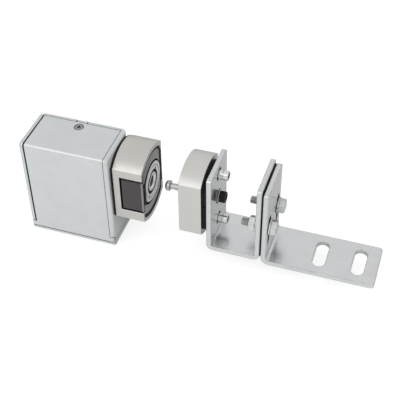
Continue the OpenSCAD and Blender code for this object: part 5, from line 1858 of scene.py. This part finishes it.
@dataclass
class LatchWorks:
    """The sprung latch, its solenoid and the switch that feels it. All sizes are in millimetres.

    Args:
        plunger: where the plunger stands in X and Y.
        spring_radius: the middle radius of the spring.
        wire: the diameter of the spring's wire.
        spring_z: the spring's lower and upper end.
        turns: the open turns of the spring.
        coil_z: the winding's lower and upper end.
        coil_radius: the inner and outer radius of the winding.
        rows: the rows of wire in the winding.
        travel: how far the latch rises; not used.
    """

    plunger: Point = (20.0, HEAD_Y)
    spring_radius: float = 6.2
    wire: float = 1.2
    spring_z: Point = (-15.3, -0.2)
    turns: int = 5
    coil_z: Point = (3.9, 30.1)
    coil_radius: Point = (6.3, 11.45)
    rows: int = 34
    travel: float = 7.0

    def spring(self) -> None:
        """Winds the return spring."""
        close = self.wire + 0.45
        low, high = self.spring_z
        room = high - low - self.wire
        steps = 28
        path: list[Vector] = []
        for i in range((self.turns + 2) * steps + 1):
            turn = i / steps
            rise = close * min(turn, 1.0)
            rise += (room - 2 * close) * min(max(turn - 1.0, 0.0) / self.turns, 1.0)
            rise += close * max(turn - self.turns - 1.0, 0.0)
            x, y = (self.spring_radius * way(math.tau * turn) for way in (math.cos, math.sin))
            path.append(Vector((self.plunger[0] + x, self.plunger[1] + y, low + self.wire / 2 + rise)))
        form = Form().sweep(path, self.wire / 2, 12)
        made = Piece("wound_spring", "lock_body", Stock.SPRING_STEEL, ("return_spring",)).make(form)
        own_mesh(made)

    def winding(self) -> None:
        """Winds the solenoid's coil, row over row of lacquered wire."""
        low, high = self.coil_z
        inner, outer = self.coil_radius
        pitch = (high - low) / self.rows
        profile: Outline = [(low, inner)]
        for row in range(self.rows):
            for share in (0.08, 0.25, 0.5, 0.75, 0.92):
                sag = pitch * 0.5 * (1 - math.sin(math.pi * share))
                profile.append((low + pitch * (row + share), outer - sag))
        form = Form().lathe(profile + [(high, inner)], along_z(*self.plunger), 56, closed=True)
        Piece("wire_winding", "lock_body", Stock.COPPER, ("solenoid_coil",), crease=80.0).make(form)

    def build(self) -> None:
        """Makes the wound pieces and dresses the others."""
        self.spring()
        self.winding()
        carry(Stock.LATCH_STEEL, 0.2, "latch_plate", "plunger")
        carry(Stock.BRIGHT, 0.2, "plunger_nut")
        carry(Stock.SOLENOID_STEEL, 0.3, "solenoid_frame")
        carry(Stock.BOBBIN, 0.2, "solenoid_bobbin")
        carry(Stock.BLACK_PLASTIC, 0.2, "switch_body")
        carry(Stock.SPRING_STEEL, 0.1, "switch_lever")
        carry(Stock.SOLENOID_STEEL, 0.2, "switch_bracket")
        carry(Stock.SCREW_GREY, 0.1, "solenoid_screws", "switch_screws")


@dataclass
class ControlBoard:
    """The circuit board with its relay, capacitor, terminals, standoffs and screws.

    Args:
        soften: the width of the softened edges in millimetres.
    """

    soften: float = 0.2

    def build(self) -> None:
        """Dresses the board's pieces."""
        for node, stock in (
            ("circuit_board", Stock.BOARD), ("board_relay", Stock.RELAY), ("board_capacitor", Stock.BLACK_PLASTIC),
            ("terminal_block", Stock.TERMINAL), ("board_standoffs", Stock.BRASS), ("board_screws", Stock.SCREW_GREY),
        ):
            carry(stock, self.soften, node)


# The strike

@dataclass
class StrikeBlock:
    """The block that meets the head, with its pin, pads, studs and centre screw. All sizes are in millimetres.

    Args:
        radius: the block's radius.
        flats: the distance across its flats.
        front_x: the block's face.
        back_x: the block's rear face.
        pad_x: where the two pads meet.
        bracket_x: where the outer pad meets the bracket.
        split_z: the lower and upper side of the gap between a pad's halves.
        cap_x: the underside and the top of the centre screw's head.
        cap_radius: the radius of that head.
        float_travel: how far the block gives way; not used.
    """

    radius: float = 39.5
    flats: float = 54.0
    front_x: float = 111.0
    back_x: float = 133.0
    pad_x: float = 135.25
    bracket_x: float = 137.5
    split_z: Point = (5.0, 5.8)
    cap_x: Point = (143.7, 149.6)
    cap_radius: float = 5.6
    float_travel: float = 1.2

    def holes(self, bolt: tuple, stud: tuple) -> Form:
        """Draws a centre hole and two stud holes.

        Args:
            bolt: the centre hole's two ends, its radius and its steps to a turn.
            stud: the same for the stud holes.

        Returns:
            The form to cut away.
        """
        form = Form().rod(*bolt[:3], along_x(), steps=bolt[3])
        for line in stud_lines():
            form.rod(*stud[:3], line, steps=stud[3])
        return form

    def block(self) -> None:
        """Makes the satin block."""
        outline = flatted(self.radius, self.flats, 0.9)
        form = Form().prism(outline, self.front_x, self.back_x, along_x(), edges=(0.8, 0.35), steps=4)
        rear = self.back_x + 1.0
        holes = self.holes((self.back_x - 13.0, rear, 4.1, 24), (self.back_x - 12.0, rear, 4.8, 32))
        Piece("satin_block", "block", Stock.BLOCK_SATIN, ("strike_block",), crease=38.0).make(form, [holes])

    def pin(self) -> None:
        """Makes the mushroom pin that the latch holds."""
        tip = 88.6
        dome = [(tip + 3.2 * (1 - math.cos(t)), 5.2 * math.sin(t)) for t in (math.pi / 2 * i / 7 for i in range(8))]
        rear = [(93.7, 5.2), (94.05, 5.05), (94.2, 4.7), (94.2, 3.6), (94.35, 3.2), (94.7, 3.0)]
        neck = [(98.9, 3.0), (99.5, 3.05), (100.2, 3.2), (110.85, 4.38), (111.1, 4.4), (118.9, 3.95)]
        form = Form().lathe(dome + rear + neck, along_x(), 64)
        Piece("mushroom_pin", "block", Stock.PIN_POLISHED, ("strike_pin",), crease=50.0).make(form)

    def pad(self, name: str, node: str, low: float, high: float) -> None:
        """Makes one rubber pad in an upper and a lower half.

        Args:
            name: the piece's name.
            node: the CAD node that it stands for.
            low: its face towards the block.
            high: its face towards the bracket.
        """
        outline = flatted(33.5, 48.8)
        form = Form()
        for limit, above in zip(self.split_z, (False, True)):
            form.prism(clipped(outline, limit, above), low, high, along_x())
        holes = self.holes((low - 1.0, high + 1.0, 4.4, 32), (low - 1.0, high + 1.0, 6.45, 40))
        made = Piece(name, "cradle", Stock.RUBBER, (node,), 0.3, 30.0).make(form, [holes])
        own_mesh(made)

    def studs(self) -> None:
        """Makes the two guide studs with their hollow ends, and their black sleeves."""
        form, sleeves = Form(), Form()
        profile = [(121.0, 0.0), (121.0, 4.4), (121.4, 4.75), (146.4, 4.75), (146.5, 4.45), (147.2, 4.45)]
        profile += [(147.3, 4.75), (151.4, 4.75), (151.75, 4.62), (152.0, 4.3), (152.0, 3.4), (151.8, 3.1)]
        profile += [(151.4, 3.0), (145.2, 3.0), (144.2, 0.0)]
        sleeve = [(133.0, 4.8), (133.0, 5.8), (133.25, 6.05), (136.95, 6.05), (137.2, 5.8), (137.2, 4.8)]
        for line in stud_lines():
            form.lathe(profile, line, 56)
            sleeves.lathe(sleeve, line, 48, closed=True)
        Piece("hollow_studs", "block", Stock.BRIGHT, ("guide_studs",), crease=28.0).make(form)
        Piece("black_sleeves", "block", Stock.RUBBER, ("stud_sleeves",), crease=28.0).make(sleeves)

    def centre_screw(self) -> None:
        """Makes the black centre screw with its knurled head and hexagon socket, and its bright washer."""
        low, high = self.cap_x
        levels = [low + s for s in (0.0, 0.15, 0.4, 0.9, 2.4)] + [high - s for s in (1.2, 0.75, 0.3, 0.05, 0.0)]

        def reach(w: float, turn: float) -> float:
            """Gives the knurled radius, smooth at both ends.

            Args:
                w: the place along the axis.
                turn: the angle round it.

            Returns:
                The radius.
            """
            ends = min(1.0, max(0.0, (w - low - 0.4) / 0.5), max(0.0, (high - 0.9 - w) / 0.5))
            ridge = 0.5 - 0.5 * math.cos(turn * 32.0)
            edge = min(0.0, w - low - 0.3) + min(0.0, high - 0.7 - w) * 0.9
            return self.cap_radius + edge - 0.42 * ends * ridge
        form = Form().shaped(levels, reach, along_x(), 192)
        form.rod(121.0, low + 0.4, 3.95, along_x())
        socket = Form().shaped([high - 4.0, high + 1.0], lambda w, turn: hexagon_radius(5.4, turn), along_x())
        mouth = Form().rod(high - 0.4, high + 0.6, 2.8, along_x(), 3.8, 48)
        Piece("knurled_screw", "block", Stock.BLACK_STEEL, ("centre_bolt",)).make(form, [socket, mouth])
        profile = [(142.8, 4.1), (142.8, 7.2), (143.0, 7.4), (143.5, 7.4), (143.7, 7.2), (143.7, 4.1)]
        washer = Form().lathe(profile, along_x(), 64, closed=True)
        Piece("centre_plate", "block", Stock.BAR_ZINC, ("centre_washer",), crease=28.0).make(washer)

    def build(self) -> None:
        """Makes the strike's pieces."""
        self.block()
        self.pin()
        self.pad("inner_pad", "pad_inner", self.back_x, self.pad_x)
        self.pad("outer_pad", "pad_outer", self.pad_x, self.bracket_x)
        self.studs()
        self.centre_screw()


# The brackets

@dataclass
class Brackets:
    """The U bracket, the L bracket and the bolts between them. All sizes are in millimetres.

    Args:
        bar_y: the near and far edge of the flat bar.
        bar: the bar's thickness.
        rim: the radius of the bar's rims.
        corner: the radius of the bar's free corners.
        u_x: the outer faces of the U bracket.
        u_z: the underside and the top of the U bracket.
        u_bend: the outer radius of its bends.
        l_x: the leg's face and the base's end.
        l_z: the underside and the top of the L bracket.
        l_bend: the outer radius of its bend.
        bolt_z: the height of the adjusting bolts.
        bolt: the adjusting bolts' radius, the pitch and depth of their thread, and their clearance holes' radius.
        bolt_x: the bolts' free ends, where the thread ends, and the underside and top of their heads.
        hex_flats: the distance across the flats of their heads and nuts.
        nut_x: the nuts' two faces.
        washer_x: where the washers begin.
        slot_z: the lower and upper end of the leg's slots.
        base_slots: where the base's slots lie.
    """

    bar_y: Point = (-44.4, 6.4)
    bar: float = 5.0
    rim: float = 0.7
    corner: float = 3.5
    u_x: Point = (137.5, 190.0)
    u_z: Point = (-37.6, 49.6)
    u_bend: float = 6.5
    l_x: Point = (191.3, 300.0)
    l_z: Point = (-40.6, 46.0)
    l_bend: float = 8.0
    bolt_z: float = 1.0
    bolt: Quad = (4.0, 1.25, 0.62, 4.1)
    bolt_x: Quad = (169.8, 178.8, 198.2, 203.7)
    hex_flats: float = 13.0
    nut_x: Point = (176.9, 183.4)
    washer_x: Point = (196.6, 183.4)
    slot_z: Point = (-21.5, 14.5)
    base_slots: Point = (244.5, 281.5)

    def bolt_places(self) -> list[Place]:
        """The two lines that the adjusting bolts lie on."""
        return [along_x(HEAD_Y + side * BOLT_SPREAD, self.bolt_z) for side in SIDES]

    def bent_bar(self, piece: Piece, line: BendLine, holes: list[Outline]) -> None:
        """Bends a bracket from flat bar.

        Args:
            piece: the bracket.
            line: the line that its outer face follows.
            holes: its holes, drawn on the flat bar.
        """
        outline = corner_box((0.0, self.bar_y[0]), (line.length(), self.bar_y[1]), (self.corner,) * 4)
        form = Form().prism(outline, 0.0, self.bar, along_z(), holes, (self.rim, self.rim), 4)
        piece.make(form.bend(line))

    def u_bracket(self) -> None:
        """Bends the U bracket."""
        low, top = self.u_z
        drop = top - low - self.u_bend
        runs = (drop, self.u_x[1] - self.u_x[0] - 2 * self.u_bend, drop)
        line = BendLine((self.u_x[0], top), runs, self.u_bend)
        holes = [circle((top - HEAD_Z - side * STUD_RISE, HEAD_Y), 6.5, 48) for side in SIDES]
        holes.append(circle((top - HEAD_Z, HEAD_Y), 5.0, 40))
        far = line.length() - (top - self.bolt_z)
        holes += [circle((far, HEAD_Y + side * BOLT_SPREAD), self.bolt[3], 36) for side in SIDES]
        self.bent_bar(Piece("u_bar", "cradle", Stock.BAR_ZINC, ("u_bracket",), crease=40.0), line, holes)

    def l_bracket(self) -> None:
        """Bends the L bracket."""
        low, top = self.l_z
        runs = (top - low - self.l_bend, self.l_x[1] - self.l_x[0] - self.l_bend)
        line = BendLine((self.l_x[0], top), runs, self.l_bend)
        middle = top - (self.slot_z[0] + self.slot_z[1]) / 2
        slot = slot_outline((0.0, 0.0), 9.0, self.slot_z[1] - self.slot_z[0])
        holes = [[(middle + b, HEAD_Y + side * BOLT_SPREAD - a) for a, b in slot] for side in SIDES]
        for x in self.base_slots:
            holes.append(slot_outline((line.length() - (self.l_x[1] - x), HEAD_Y), 12.0, 33.0))
        self.bent_bar(Piece("l_bar", "l_body", Stock.BAR_ZINC, ("l_bracket",), crease=40.0), line, holes)

    def gasket(self) -> None:
        """Makes the black gasket between the brackets."""
        outline = corner_box((self.bar_y[0], -31.1), (self.bar_y[1], 45.0), (0.6, 0.6, self.corner, self.corner), 6)
        holes = [circle((HEAD_Y + side * BOLT_SPREAD, self.bolt_z), self.bolt[3], 32) for side in SIDES]
        form = Form().prism(outline, self.u_x[1], self.u_x[1] + 1.0, along_x(0.0, 0.0), holes, (0.15, 0.15))
        Piece("bracket_seal", "cradle", Stock.RUBBER, ("bracket_gasket",)).make(form)

    def fasteners(self) -> None:
        """Makes the two adjusting bolts, their four flat washers and their two nuts."""
        bolts, washers, nuts = Form(), Form(), Form()
        collar = [(198.0, 4.0), (198.0, 5.9), (198.25, 6.1), (198.3, 4.0)]
        ring = [(0.0, 4.15), (0.0, 7.8), (0.2, 8.0), (1.4, 8.0), (1.6, 7.75), (1.6, 4.3), (1.45, 4.15)]
        end, shank, head, top = self.bolt_x
        radius, pitch, depth, _ = self.bolt
        for place in self.bolt_places():
            bolts.thread((end, shank), radius, pitch, depth, place, 0.9)
            bolts.rod(shank, 198.4, 3.95, place)
            bolts.hexagon(self.hex_flats, head, top, place, cut_low=False)
            bolts.lathe(collar, place, 48, closed=True)
            nuts.hexagon(self.hex_flats, *self.nut_x, place, bore=4.08)
        for low in self.washer_x:
            for place in self.bolt_places():
                washers.lathe([(low + w, r) for w, r in ring], place, 56, closed=True)
        Piece("hex_bolts", "cradle", Stock.BRIGHT, ("adjusting_bolts",), crease=26.0).make(bolts)
        Piece("flat_washers", "cradle", Stock.BRIGHT, ("bolt_washers",), crease=28.0).make(washers)
        Piece("hex_nuts", "cradle", Stock.BRIGHT, ("bolt_nuts",), crease=26.0).make(nuts)

    def build(self) -> None:
        """Makes the brackets and what joins them."""
        self.u_bracket()
        self.l_bracket()
        self.gasket()
        self.fasteners()


def main() -> None:
    """Builds the studio and the lock's sub-assemblies."""
    logging.basicConfig(level=logging.INFO, format="%(message)s")
    Studio().build()
    for assembly in (LockBox(), LockHead(), LatchWorks(), ControlBoard(), StrikeBlock(), Brackets()):
        log.info("%s", type(assembly).__name__)
        assembly.build()


if __name__ == "__main__":
    main()
